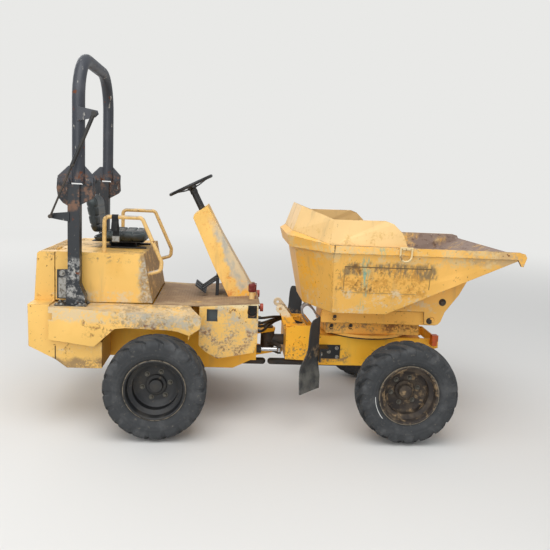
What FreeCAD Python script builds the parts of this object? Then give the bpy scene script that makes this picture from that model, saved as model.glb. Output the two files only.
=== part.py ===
import math
import os

import FreeCAD, Part

# Site dumper, millimetres, +X toward the skip lip, +Z up, ground at Z = 0.
# Stations behind the kingpin are measured from the rear axle, those ahead of it from the front axle.

os.makedirs("parts", exist_ok=True)

# Running gear
WHEELBASE = 1842.0
REAR_AXLE_X = -880.0
FRONT_AXLE_X = REAR_AXLE_X + WHEELBASE
TRACK = 1600.0
AXLE_Z = 380.0
TYRE_R = 380.0
TYRE_W = 262.0
LUG_COUNT = 18
LUG_HEIGHT = 26.0
LUG_HALF = 14.0
LUG_FOOT = 20.0
LUG_SWEEP = 50.0
LUG_DROP = 18.0
TREAD_HALF_W = 118.0
BEAD_R = 208.0
RIM_FLANGE_R = 222.0
NUT_CIRCLE_R = 102.0
NUT_COUNT = 6
NUT_TURN = 10.6
HUB_BACK = 96.0
WHEEL_SIDES = 24
BOWL_SIDES = 20
SEAT_GAP = 0.3

# Joints
KINGPIN_X = REAR_AXLE_X + 850.0
KINGPIN_R = 30.0
SHAFT_Z = 355.0
SHAFT_R = 28.0
SHAFT_END = 36.0
TRUNNION_Z = 548.0
SLEW_X = FRONT_AXLE_X - 182.0
SLEW_R = 370.0
SLEW_Z = 668.0
TIP_X = FRONT_AXLE_X + 273.0
TIP_Z = 850.0
TIP_PIN_R = 20.0
COVER_HINGE_X = REAR_AXLE_X - 787.0
COVER_HINGE_Z = 1303.0
HINGE_PIN_R = 5.0
FIT = 0.08
HOOP_PIVOT_X = REAR_AXLE_X - 705.0
HOOP_PIVOT_Z = 1800.0

# Bodywork
BODY_HALF_W = 490.0
HOOP_HALF_W = BODY_HALF_W + 90.0
FENDER_HALF_W = HOOP_HALF_W + 120.0
WEIGHT_HALF_W = FENDER_HALF_W - 45.0
DECK_Z = 920.0
DECK_FRONT_X = REAR_AXLE_X + 287.0
COVER_TOP_Z = 1296.0
PLATE = 6.0
TOE_RISE = 0.07
ARCH_Z = AXLE_Z + TYRE_R + 16.0
FENDER_REAR_Z = 919.0
FENDER_FALL = 0.0465
RUN_GAP = 5.0

# Roll hoop
HOOP_TUBE_R = 45.0
HOOP_TOP_Z = 2695.0
HOOP_BEND = 300.0
HOOP_X = REAR_AXLE_X - 595.0
STRUT_STATION_Z = HOOP_PIVOT_Z + 0.547 * (HOOP_TOP_Z - HOOP_PIVOT_Z)

# Skip
SKIP_FLOOR_Z = 925.0
SKIP_HALF_W = 730.0
SKIP_WALL = 8.0
RIM_Z = 1441.0


def vec(x, y, z):
    return FreeCAD.Vector(x, y, z)


def ra(station):
    """World X of a station measured from the rear axle."""
    return REAR_AXLE_X + station


def fa(station):
    """World X of a station measured from the front axle."""
    return FRONT_AXLE_X + station


def kp(station):
    """World X of a station measured from the kingpin."""
    return KINGPIN_X + station


def box(x0, x1, y0, y1, z0, z1):
    return Part.makeBox(x1 - x0, y1 - y0, z1 - z0, vec(x0, y0, z0))


def pair(x0, x1, y0, y1, z0, z1):
    """A box and its mirror image across the vehicle's middle plane."""
    return [box(x0, x1, y0, y1, z0, z1), box(x0, x1, -y1, -y0, z0, z1)]


def rod(start, end, radius):
    axis = end - start
    return Part.makeCylinder(radius, axis.Length, start, axis)


def cross_rod(x, z, y0, y1, radius):
    """A round bar lying across the vehicle."""
    return Part.makeCylinder(radius, y1 - y0, vec(x, y0, z), vec(0, 1, 0))


def prism_y(outline, y0, y1):
    """An (x, z) outline drawn out across the vehicle."""
    points = [vec(x, y0, z) for x, z in outline]
    face = Part.Face(Part.makePolygon(points + points[:1]))
    return face.extrude(vec(0, y1 - y0, 0))


def prism_z(outline, z0, z1):
    """An (x, y) outline drawn upward."""
    points = [vec(x, y, z0) for x, y in outline]
    face = Part.Face(Part.makePolygon(points + points[:1]))
    return face.extrude(vec(0, 0, z1 - z0))


def toe_z(x):
    """Top of the toe board, which rises from the deck toward the articulation."""
    return DECK_Z + (x - DECK_FRONT_X) * TOE_RISE


def fender_z(x):
    """Top of the fender, which falls toward the front."""
    return FENDER_REAR_Z - (x - ra(-784)) * FENDER_FALL


def mirrored(shape):
    return shape.mirror(vec(0, 0, 0), vec(0, 1, 0))


def both_sides(shape):
    return [shape, mirrored(shape)]


def fuse(shapes):
    body = shapes[0]
    if len(shapes) > 1:
        body = body.multiFuse(shapes[1:])
    return body.removeSplitter()


def panel(points, thickness, inside):
    """A plate whose outer face passes through the corner points, thickened toward an inner point."""
    corners = [vec(*p) for p in points]
    normal = (corners[2] - corners[0]).cross(corners[-1] - corners[1])
    normal.normalize()
    if normal.dot(inside - corners[0]) < 0:
        normal = normal * -1.0
    inner = [c + normal * thickness for c in corners]
    count = len(corners)
    faces = []
    for k in range(1, count - 1):
        faces.append((corners[0], corners[k + 1], corners[k]))
        faces.append((inner[0], inner[k], inner[k + 1]))
    for k in range(count):
        n = (k + 1) % count
        faces.append((corners[k], corners[n], inner[n]))
        faces.append((corners[k], inner[n], inner[k]))
    skins = [Part.Face(Part.makePolygon(list(f) + [f[0]])) for f in faces]
    solid = Part.Solid(Part.makeShell(skins))
    if solid.Volume < 0:
        solid.reverse()
    return solid


def bent_path(points, radius):
    """A wire through the points with each inner corner rounded to the given bend radius."""
    edges = []
    start = points[0]
    for k in range(1, len(points) - 1):
        back = points[k - 1] - points[k]
        ahead = points[k + 1] - points[k]
        back.normalize()
        ahead.normalize()
        half = back.getAngle(ahead) / 2.0
        reach = radius / math.tan(half)
        entry = points[k] + back * reach
        leave = points[k] + ahead * reach
        bisector = back + ahead
        bisector.normalize()
        middle = points[k] + bisector * (radius / math.sin(half) - radius)
        edges.append(Part.makeLine(start, entry))
        edges.append(Part.Arc(entry, middle, leave).toShape())
        start = leave
    edges.append(Part.makeLine(start, points[-1]))
    return Part.Wire(edges)


def pipe(points, bend, radius):
    """A round tube, taken as solid, along a bent path."""
    path = bent_path(points, bend)
    direction = points[1] - points[0]
    profile = Part.Wire(Part.makeCircle(radius, points[0], direction))
    return path.makePipeShell([profile], True, True)


def export(name, shapes):
    body = shapes if isinstance(shapes, list) else [shapes]
    solids = []
    for shape in body:
        solids.extend(shape.Solids)
    target = solids[0] if len(solids) == 1 else Part.makeCompound(solids)
    target.translate(vec(0, 0, TYRE_R - AXLE_Z))
    target.exportStep("parts/" + name + ".step")


def turned(section, centre, across, sides):
    """A many-sided ring about a cross axis from (radius, width) corners, its corners on the true circle."""
    rings = []
    for k in range(sides):
        turn = 2.0 * math.pi * k / sides
        rings.append([centre + vec(r * math.cos(turn), across * w, r * math.sin(turn)) for r, w in section])
    skins = []
    for k in range(sides):
        here, there = rings[k], rings[(k + 1) % sides]
        for j in range(len(section)):
            n = (j + 1) % len(section)
            corners = [here[j], here[n], there[n], there[j], here[j]]
            skins.append(Part.Face(Part.makePolygon(corners)))
    solid = Part.Solid(Part.makeShell(skins))
    if solid.Volume < 0:
        solid.reverse()
    return solid


# Wheels

def lug(turn, side):
    """One chevron bar swept from the middle plane out to the shoulder, its heel sunk in the carcass."""
    radial = vec(math.cos(turn), 0, math.sin(turn))
    ahead = vec(-math.sin(turn), 0, math.cos(turn))
    heel = TYRE_R - LUG_HEIGHT - 12.0
    corners = []
    for radius, edge in ((heel, -LUG_FOOT), (TYRE_R, -LUG_HALF), (TYRE_R, LUG_HALF), (heel, LUG_FOOT)):
        corners.append(radial * radius + ahead * edge + vec(0, side * 4.0, 0))
    face = Part.Face(Part.makePolygon(corners + corners[:1]))
    return face.extrude(ahead * LUG_SWEEP - radial * LUG_DROP + vec(0, side * (TREAD_HALF_W - 4.0), 0))


def lugged_tyre():
    """Tyre about the origin: rounded carcass with staggered bars on each side of the tread."""
    half = TYRE_W / 2.0
    carcass = TYRE_R - LUG_HEIGHT
    section = [
        (BEAD_R, -86.0),
        (RIM_FLANGE_R + 1.0, -87.5),
        (BEAD_R + 78.0, -half),
        (carcass - 30.0, -half * 0.95),
        (carcass - 3.0, -half * 0.6),
        (carcass - 3.0, half * 0.6),
        (carcass - 30.0, half * 0.95),
        (BEAD_R + 78.0, half),
        (RIM_FLANGE_R + 1.0, 87.5),
        (BEAD_R, 86.0),
    ]
    body = turned(section, vec(0, 0, 0), 1, WHEEL_SIDES)
    pitch = 2.0 * math.pi / LUG_COUNT
    lugs = []
    for k in range(LUG_COUNT):
        lugs.append(lug(k * pitch, 1))
        lugs.append(lug((k + 0.5) * pitch, -1))
    return body.multiFuse(lugs)


def hexagon_bar(start, radius, length):
    """A six-sided bar lying across the vehicle."""
    corners = []
    for k in range(7):
        turn = math.pi * k / 3.0
        corners.append(start + vec(radius * math.cos(turn), 0, radius * math.sin(turn)))
    return Part.Face(Part.makePolygon(corners)).extrude(vec(0, length, 0))


def rim(x, side):
    """Drop-centre rim with its disc set inboard, hub boss and wheel nuts."""
    y_mid = side * TRACK / 2.0
    section = [
        (RIM_FLANGE_R, 100.0),
        (RIM_FLANGE_R, 90.0),
        (BEAD_R - SEAT_GAP, 86.5),
        (BEAD_R - SEAT_GAP, 50.0),
        (BEAD_R - 34.0, 30.0),
        (BEAD_R - 34.0, -30.0),
        (BEAD_R - SEAT_GAP, -50.0),
        (BEAD_R - SEAT_GAP, -86.5),
        (RIM_FLANGE_R, -90.0),
        (RIM_FLANGE_R, -100.0),
        (BEAD_R - 10.0, -98.0),
        (BEAD_R - 12.0, -54.0),
        (BEAD_R - 42.0, -36.0),
        (70.0, -56.0),
        (70.0, -44.0),
        (BEAD_R - 42.0, -26.0),
        (BEAD_R - 42.0, 36.0),
        (BEAD_R - 12.0, 54.0),
        (BEAD_R - 10.0, 98.0),
    ]
    pieces = [turned(section, vec(x, y_mid, AXLE_Z), side, WHEEL_SIDES)]
    hub_in = y_mid - side * HUB_BACK
    hub = Part.makeCylinder(76.0, 70.0, vec(x, hub_in, AXLE_Z), vec(0, side, 0))
    cap = Part.makeCylinder(48.0, 104.0, vec(x, hub_in, AXLE_Z), vec(0, side, 0))
    pieces.extend([hub, cap])
    for k in range(NUT_COUNT):
        turn = math.radians(NUT_TURN) + 2.0 * math.pi * k / NUT_COUNT
        nx = x + NUT_CIRCLE_R * math.cos(turn)
        nz = AXLE_Z + NUT_CIRCLE_R * math.sin(turn)
        pieces.append(hexagon_bar(vec(nx, y_mid - side * 60.0, nz), 11.0, side * 40.0))
    return fuse(pieces)


WHEELS = [
    ("rr", REAR_AXLE_X, -1),
    ("rl", REAR_AXLE_X, 1),
    ("fr", FRONT_AXLE_X, -1),
    ("fl", FRONT_AXLE_X, 1),
]
TYRE = lugged_tyre()
for corner, wheel_x, side in WHEELS:
    tyre = TYRE.copy()
    if side > 0:
        tyre.rotate(vec(0, 0, 0), vec(0, 0, 1), 180)
    tyre.translate(vec(wheel_x, side * TRACK / 2.0, AXLE_Z))
    export("tyre_" + corner, tyre)
    export("rim_" + corner, rim(wheel_x, side))


def axle(x, pad_top, shaft_side):
    """Beam axle with a differential bowl, flanged hub ends and its half of the drive shaft."""
    reach = TRACK / 2.0 - HUB_BACK - SEAT_GAP
    pieces = [cross_rod(x, AXLE_Z, -reach, reach, 52.0)]
    bowl = [(30.0, -110.0), (90.0, -86.0), (118.0, -34.0), (118.0, 34.0), (90.0, 86.0), (30.0, 110.0)]
    pieces.append(turned(bowl, vec(x, 0, AXLE_Z), 1, BOWL_SIDES))
    pieces.append(cross_rod(x, AXLE_Z, -reach, -reach + 40.0, 84.0))
    pieces.append(cross_rod(x, AXLE_Z, reach - 40.0, reach, 84.0))
    pieces.extend(pair(x - 60.0, x + 60.0, 200.0, 290.0, AXLE_Z, pad_top))
    joint_end = vec(kp(shaft_side * SHAFT_END), 0, SHAFT_Z)
    pieces.append(rod(vec(x - shaft_side * 60.0, 0, SHAFT_Z), joint_end, SHAFT_R))
    pieces.append(Part.makeSphere(SHAFT_R, joint_end))
    return fuse(pieces)


REAR_PAD_Z = 455.0
FRONT_PAD_Z = 478.0
export("rear_axle", axle(REAR_AXLE_X, REAR_PAD_Z, -1))

# Rear frame

CHASSIS_Y = 265.0
FORK_TOP_Z = 625.0
FORK_LOW_Z = 445.0
RAM_Z = 505.0

FRONT_FACE_X = ra(745)
chassis_side = [
    (ra(-600), 452), (ra(-600), DECK_Z - PLATE), (DECK_FRONT_X, DECK_Z - PLATE),
    (FRONT_FACE_X, toe_z(FRONT_FACE_X) - PLATE), (FRONT_FACE_X, 440), (ra(700), 440),
    (ra(560), 372), (ra(330), 372), (ra(200), REAR_PAD_Z), (ra(-200), REAR_PAD_Z),
]
rear_chassis = [prism_y(chassis_side, CHASSIS_Y, CHASSIS_Y + 14.0)]
rear_chassis.append(prism_y(chassis_side, -CHASSIS_Y - 14.0, -CHASSIS_Y))
rear_chassis.append(box(ra(-600), ra(-586), -CHASSIS_Y, CHASSIS_Y, 452, 700))
rear_chassis.append(box(ra(200), ra(214), -CHASSIS_Y, CHASSIS_Y, 455, 700))
front_wall = box(ra(731), FRONT_FACE_X, -CHASSIS_Y, CHASSIS_Y, 440, 660)
rear_chassis.append(front_wall.cut(box(ra(720), ra(760), -CHASSIS_Y, -92, 460, 550)))
fork = [
    (ra(735), -150), (KINGPIN_X + 10, -70), (KINGPIN_X + 50, -40),
    (KINGPIN_X + 62, 0), (KINGPIN_X + 50, 40), (KINGPIN_X + 10, 70), (ra(735), 150),
]
for fork_z in (FORK_LOW_Z, FORK_TOP_Z):
    plate = prism_z(fork, fork_z, fork_z + 26.0)
    bore = Part.makeCylinder(KINGPIN_R + 1.0, 60.0, vec(KINGPIN_X, 0, fork_z - 10.0))
    rear_chassis.append(plate.cut(bore))
ram_lug = [
    (ra(460), -CHASSIS_Y), (ra(500), -CHASSIS_Y), (ra(500), -160), (ra(484), -140), (ra(456), -140),
    (ra(440), -160),
]
for lug_z in (RAM_Z - 40.0, RAM_Z + 20.0):
    rear_chassis.append(prism_z(ram_lug, lug_z, lug_z + 20.0))
rear_chassis.append(Part.makeCylinder(12.5 - FIT, 92.0, vec(ra(470), -170, RAM_Z - 46.0)))
export("rear_chassis", fuse(rear_chassis))

TOW_STATION = -900.0
TOW_PIN_R = 14.0
TOW_MOUTH_Z = 620.0
TOW_FLOOR_Z = 700.0
TOW_ROOF_Z = 780.0
TOW_TOP_Z = 830.0
weight_outline = [
    (ra(-940), 927), (ra(-936), 617), (ra(-745), 521), (ra(-662), 459), (ra(-600), 459),
    (ra(-600), 900), (ra(-788), 900), (ra(-788), 927),
]
counterweight = prism_y(weight_outline, -WEIGHT_HALF_W, WEIGHT_HALF_W)
skirt_outline = [(ra(-604), 459), (ra(-604), 690), (ra(-411), 660), (ra(-411), 459)]
skirt = prism_y(skirt_outline, -WEIGHT_HALF_W, WEIGHT_HALF_W)
skirt = skirt.cut(prism_y(skirt_outline, -CHASSIS_Y - 16, CHASSIS_Y + 16))
# Tow jaw: a pocket across the rear face with a pin bore through its floor and into its roof
tow_pocket = box(ra(-960), ra(-860), -60, 60, TOW_FLOOR_Z, TOW_ROOF_Z)
tow_bore = Part.makeCylinder(TOW_PIN_R, TOW_TOP_Z - TOW_MOUTH_Z, vec(ra(TOW_STATION), 0, TOW_MOUTH_Z))
tow_face = Part.makeCylinder(TOW_PIN_R + 12.0, 60.0, vec(ra(TOW_STATION), 0, TOW_MOUTH_Z - 60.0))
export("counterweight", fuse([counterweight, skirt]).cut(tow_pocket).cut(tow_bore).cut(tow_face))

cowl_outline = [(ra(-938), 927), (ra(-915), 1278), (ra(-900), 1292), (ra(-790), 1292), (ra(-790), 927)]
cowl = prism_y(cowl_outline, -BODY_HALF_W, BODY_HALF_W)
cowl_inner = [(ra(-930), 933), (ra(-908), 1275), (ra(-899), 1285), (ra(-780), 1285), (ra(-780), 933)]
cowl = cowl.cut(prism_y(cowl_inner, -BODY_HALF_W + PLATE, BODY_HALF_W - PLATE))
for k in range(6):
    slot_x = ra(-890) + k * 16.0
    cowl = cowl.cut(box(slot_x, slot_x + 7.0, -380, 380, 1270, 1300))
HINGE_Y = [-360.0, 300.0]
HINGE_LENGTH = 60.0
EAR = 12.0
cowl_hinges = [cowl]
ear_outline = [
    (ra(-800), 1288), (ra(-790), 1288), (ra(-790), 1300), (ra(-784), 1298.5), (ra(-781), 1303),
    (ra(-784), 1310), (ra(-800), 1310),
]
for hinge_y in HINGE_Y:
    cowl_hinges.append(prism_y(ear_outline, hinge_y - EAR, hinge_y))
    cowl_hinges.append(prism_y(ear_outline, hinge_y + HINGE_LENGTH, hinge_y + HINGE_LENGTH + EAR))
    pin_ends = (hinge_y - EAR, hinge_y + HINGE_LENGTH + EAR)
    cowl_hinges.append(cross_rod(COVER_HINGE_X, COVER_HINGE_Z, pin_ends[0], pin_ends[1], HINGE_PIN_R))
export("rear_cowl", fuse(cowl_hinges))

# Fenders: sloping top plate, outer skirt with wheel arch, front lobe
fender_side = [
    (ra(-784), FENDER_REAR_Z), (ra(-784), 678), (ra(-461), 633), (ra(-315), ARCH_Z - 6), (ra(-239), ARCH_Z + 3),
    (ra(60), ARCH_Z - 4), (ra(140), ARCH_Z - 14), (ra(226), ARCH_Z - 44), (ra(303), ARCH_Z + 12),
    (ra(313), fender_z(ra(313))),
]
FENDER_IN_Y = BODY_HALF_W + RUN_GAP
FENDER_OUT_Y = FENDER_HALF_W - 1.0
FENDER_EDGE_Y = FENDER_IN_Y + 1.6


def fender_skin(lift, thickness):
    """Top plate of the right fender, which rises inward to the deck, raised and thickened downward."""
    corners = [
        (ra(-784), -FENDER_OUT_Y, FENDER_REAR_Z + lift), (ra(313), -FENDER_OUT_Y, fender_z(ra(313)) + lift),
        (ra(210), -FENDER_EDGE_Y, DECK_Z - 2.0 + lift), (ra(-784), -FENDER_EDGE_Y, FENDER_REAR_Z + lift),
    ]
    return panel(corners, thickness, vec(ra(0), -FENDER_HALF_W, 0))


ARCH_TOP_Z = 866.0
fender = fuse([
    prism_y(fender_side, -FENDER_HALF_W, -FENDER_HALF_W + PLATE),
    fender_skin(0.0, PLATE),
    box(ra(-330), ra(-324), -FENDER_OUT_Y, -CHASSIS_Y - 14, ARCH_Z - 6, ARCH_TOP_Z + 22),
    box(ra(218), ra(224), -FENDER_OUT_Y, -CHASSIS_Y - 14, 700, ARCH_TOP_Z),
    box(ra(218), ra(224), -FENDER_IN_Y, -CHASSIS_Y - 14, 700, DECK_Z - PLATE),
])
vent = box(ra(-784), ra(-757), -FENDER_HALF_W - 5, -FENDER_HALF_W + 10, 826, 874)
export("fenders", both_sides(fender.cut(vent)))

# Deck between the engine cover and the console, with the toe board rising forward
deck_outline = [
    (ra(-60), DECK_Z - PLATE), (ra(-60), DECK_Z), (DECK_FRONT_X, DECK_Z),
    (FRONT_FACE_X, toe_z(FRONT_FACE_X)), (FRONT_FACE_X, toe_z(FRONT_FACE_X) - PLATE),
    (DECK_FRONT_X, DECK_Z - PLATE),
]
deck = [prism_y(deck_outline, -FENDER_IN_Y, FENDER_IN_Y)]
export("deck", fuse(deck))

# Side tanks below the toe board
tank_side = [
    (DECK_FRONT_X, DECK_Z - PLATE), (DECK_FRONT_X, 610), (ra(339), 560), (ra(432), 508), (ra(713), 561),
    (ra(737), 640),
    (ra(737), toe_z(ra(737)) - PLATE),
]
tank = prism_y(tank_side, -FENDER_IN_Y, -CHASSIS_Y - 14)
tank = tank.cut(box(ra(344), ra(425), -FENDER_IN_Y - 10, -FENDER_IN_Y + 55, 800, 894))
tank = tank.cut(cross_rod(ra(690), 883, -FENDER_IN_Y - 10, -FENDER_IN_Y + 30, 38.0))
export("side_tanks", both_sides(tank))

console_outline = [
    (ra(505), toe_z(ra(505))), (ra(375), 1188), (ra(205), 1560), (ra(212), 1588), (ra(318), 1664),
    (ra(443), 1433), (ra(587), 1195), (ra(733), toe_z(ra(733))),
]
console = prism_y(console_outline, -170, 170)
console_core = [
    (ra(513), 890), (ra(383), 1190), (ra(214), 1562), (ra(220), 1584), (ra(315), 1654),
    (ra(435), 1430), (ra(580), 1191), (ra(722), 920),
]
console = console.cut(prism_y(console_core, -164, 164))

WHEEL_TILT = math.radians(27.3)
HUB_DROP = 70.0
wheel_axis = vec(-math.sin(WHEEL_TILT), 0, math.cos(WHEEL_TILT))
wheel_centre = vec(ra(172), 0, 1812)
column_foot = wheel_centre - wheel_axis * 250.0
column_head = wheel_centre - wheel_axis * (HUB_DROP + SEAT_GAP)
export("console", console.cut(rod(column_foot, column_head, 27.0 + SEAT_GAP)))
export("steering_column", rod(column_foot, column_head, 27.0))


def grip_ring(centre, axis, radius, half):
    """A ring of eight-sided section about any axis."""
    out = vec(0, 1, 0)
    if abs(axis.dot(out)) > 0.9:
        out = vec(1, 0, 0)
    corners = []
    for k in range(9):
        turn = math.pi * (k + 0.5) / 4.0
        corners.append(centre + out * (radius + half * math.cos(turn)) + axis * (half * math.sin(turn)))
    return Part.Face(Part.makePolygon(corners)).revolve(centre, axis, 360)


def steering_wheel():
    """Padded ring, three flat spokes and a hub."""
    ring = grip_ring(wheel_centre, wheel_axis, 180.0, 13.0)
    hub_low = wheel_centre - wheel_axis * HUB_DROP
    pieces = [ring, Part.makeCylinder(30.0, 62.0, hub_low, wheel_axis)]
    along = vec(math.cos(WHEEL_TILT), 0, math.sin(WHEEL_TILT))
    across = vec(0, 1, 0)
    for k in range(3):
        turn = math.radians(30 + 120 * k)
        out = along * math.cos(turn) + across * math.sin(turn)
        start = hub_low + wheel_axis * 42.0 + out * 20.0
        end = wheel_centre + out * 180.0
        pieces.append(rod(start, end, 7.0))
    return fuse(pieces)


export("steering_wheel", steering_wheel())

# Foot controls on the deck and hand levers beside the console
PEDAL_Y = [-90.0, 10.0, 110.0]
LEVER_Y = 215.0
KNOB_Y = 300.0
controls = []
for pedal_y in PEDAL_Y:
    arm = prism_y([(ra(416), 1077), (ra(426), 1067), (ra(290), 965), (ra(280), 975)], pedal_y - 6, pedal_y + 6)
    pad = prism_y([(ra(232), 1010), (ra(318), 945), (ra(324), 953), (ra(238), 1018)], pedal_y - 35, pedal_y + 35)
    stand = [(ra(400), toe_z(ra(400))), (ra(426), toe_z(ra(426))), (ra(426), 1077), (ra(400), 1077)]
    foot = prism_y(stand, pedal_y - 12, pedal_y + 12)
    controls.append(fuse([arm, pad, foot]))
stem = rod(vec(ra(600), LEVER_Y, toe_z(ra(600)) + 2.0), vec(ra(560), LEVER_Y, 1110), 8.0)
boss = box(ra(588), ra(612), LEVER_Y - 12, LEVER_Y + 12, toe_z(ra(612)), toe_z(ra(612)) + 12)
knob = Part.makeCone(12.0, 20.0, 30.0, vec(ra(562), LEVER_Y, 1102), vec(-40, 0, 108))
controls.append(fuse([stem, knob, boss]))
for knob_y in (-KNOB_Y, KNOB_Y):
    plug = Part.makeCylinder(14.0, 28.0, vec(ra(737) + SEAT_GAP, knob_y, 881), vec(1, 0, 0))
    head = Part.makeCylinder(32.0, 24.0, vec(FRONT_FACE_X + 14.0, knob_y, 881), vec(1, 0, 0))
    controls.append(plug.fuse(head))
export("controls", controls)

engine = fuse([
    box(ra(-580), ra(-180), -230, 230, 560, 1180),
    box(ra(-740), ra(-580), -230, 230, 940, 1180),
    box(ra(-180), ra(190), -170, 170, 525, 800),
] + pair(ra(-450), ra(-400), 230, CHASSIS_Y, 600, 650))
export("engine_block", engine)

# Roll hoop: lower posts with twin hinge plates, upper hoop with one plate between them
POST_X = ra(-622)
POST_HALF = 42.0
SPLIT_Z = HOOP_PIVOT_Z
PIVOT_PIN_R = 11.0
TWIN_IN = 9.0
TWIN_OUT = 19.0
TONGUE_HALF = 4.0
LOCK_X = ra(-520)
low_wing = [
    (ra(-735), 1700), (ra(-745), 1765), (ra(-740), 1838), (ra(-662), 1838), (ra(-647), SPLIT_Z - 6),
    (ra(-546), SPLIT_Z - 6), (ra(-534), 1846), (ra(-490), 1846), (ra(-483), 1720), (ra(-500), 1696),
    (ra(-580), 1650), (ra(-664), 1640), (ra(-700), 1660),
]
BASE_TOP_Z = 926.0
gusset = [
    (ra(-676), BASE_TOP_Z), (ra(-676), 975), (POST_X - POST_HALF, 1075), (POST_X + POST_HALF, 1075),
    (ra(-541), 985), (ra(-541), BASE_TOP_Z),
]
post_plate = [(ra(-749), 960), (ra(-749), 1176), (ra(-668), 1179), (ra(-660), 960)]
posts = []
for side in (-1, 1):
    leg_y = side * HOOP_HALF_W
    seat = fender_skin(SEAT_GAP, 60.0)
    base = box(ra(-753), ra(-527), leg_y - 70, leg_y + 70, BASE_TOP_Z - 20, BASE_TOP_Z)
    pieces = [
        box(POST_X - POST_HALF, POST_X + POST_HALF, leg_y - 40, leg_y + 40, BASE_TOP_Z - 2, SPLIT_Z - 5),
        base.cut(seat if side < 0 else mirrored(seat)),
        prism_y(gusset, leg_y - 44, leg_y + 44),
        prism_y(post_plate, leg_y - 4, leg_y + 4),
        prism_y(low_wing, leg_y - TWIN_OUT, leg_y - TWIN_IN),
        prism_y(low_wing, leg_y + TWIN_IN, leg_y + TWIN_OUT),
        cross_rod(HOOP_PIVOT_X, HOOP_PIVOT_Z, leg_y - 30, leg_y + 30, PIVOT_PIN_R),
        hexagon_bar(vec(HOOP_PIVOT_X, leg_y - TWIN_OUT - 10, HOOP_PIVOT_Z), 19.0, 10.0),
        hexagon_bar(vec(HOOP_PIVOT_X, leg_y + TWIN_OUT, HOOP_PIVOT_Z), 19.0, 10.0),
        hexagon_bar(vec(LOCK_X, leg_y - TWIN_OUT - 12, HOOP_PIVOT_Z), 19.0, 12.0),
        hexagon_bar(vec(LOCK_X, leg_y + TWIN_OUT, HOOP_PIVOT_Z), 19.0, 12.0),
    ]
    if side < 0:
        eye_plate = [(ra(-650), 1530), (ra(-650), 1600), (ra(-775), 1586), (ra(-788), 1567), (ra(-775), 1550)]
        pieces.append(prism_y(eye_plate, leg_y - 50, leg_y - 40))
        pieces.append(cross_rod(ra(-770), 1567, leg_y - 78, leg_y - 40, 8.0))
    posts.append(fuse(pieces))
export("rops_posts", posts)


def rops_hoop():
    """Bent tube hoop with a hinge plate in the middle of each leg and the strut bracket on the right one."""
    low = SPLIT_Z + 6.0
    path = [
        vec(HOOP_X, -HOOP_HALF_W, low),
        vec(HOOP_X, -HOOP_HALF_W, HOOP_TOP_Z),
        vec(HOOP_X, HOOP_HALF_W, HOOP_TOP_Z),
        vec(HOOP_X, HOOP_HALF_W, low),
    ]
    pieces = [pipe(path, HOOP_BEND, HOOP_TUBE_R)]
    wing = [
        (ra(-736), 1822), (ra(-742), 1850), (ra(-665), 1925), (ra(-552), 1930), (ra(-483), 1855),
        (ra(-486), 1766), (ra(-545), 1766), (ra(-572), low), (ra(-682), low),
    ]
    for side in (-1, 1):
        leg_y = side * HOOP_HALF_W
        plate = prism_y(wing, leg_y - TONGUE_HALF, leg_y + TONGUE_HALF)
        ear = cross_rod(HOOP_PIVOT_X, HOOP_PIVOT_Z, leg_y - TONGUE_HALF, leg_y + TONGUE_HALF, 33.0)
        bore = cross_rod(HOOP_PIVOT_X, HOOP_PIVOT_Z, leg_y - 60, leg_y + 60, PIVOT_PIN_R + 1.0)
        pieces.append(plate.fuse(ear).cut(bore))
    rise = STRUT_STATION_Z
    bracket = [
        (ra(-599), rise + 49), (ra(-455), rise + 24), (ra(-447), rise), (ra(-470), rise - 23), (ra(-599), rise - 56),
    ]
    pieces.append(prism_y(bracket, -HOOP_HALF_W - 48, -HOOP_HALF_W - 40))
    return fuse(pieces)


export("rops_hoop", rops_hoop())

# Gas strut between the hoop bracket and the lower eye on the post
STRUT_Y = -HOOP_HALF_W - 96.0
strut_top = vec(ra(-470), STRUT_Y, STRUT_STATION_Z)
strut_eye = vec(ra(-770), STRUT_Y, 1567)
strut_dir = strut_eye - strut_top
STRUT_BARREL = 0.511 * strut_dir.Length
strut_dir.normalize()
barrel = rod(strut_top + strut_dir * 12.0, strut_top + strut_dir * STRUT_BARREL, 14.0)
barrel = barrel.cut(rod(strut_top + strut_dir * 35.0, strut_top + strut_dir * (STRUT_BARREL + 10.0), 7.5))
strut_barrel = fuse([
    barrel,
    cross_rod(strut_top.x, strut_top.z, STRUT_Y - 13, STRUT_Y + 13, 17.0),
    cross_rod(strut_top.x, strut_top.z, STRUT_Y, -HOOP_HALF_W - 48 - SEAT_GAP, 8.0),
])
export("strut_barrel", strut_barrel)
strut_rod = fuse([
    rod(strut_top + strut_dir * (STRUT_BARREL - 60.0), strut_eye - strut_dir * 8.0, 7.0),
    cross_rod(strut_eye.x, strut_eye.z, STRUT_Y - 12, STRUT_Y + 12, 14.0),
])
export("strut_rod", strut_rod)

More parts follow.
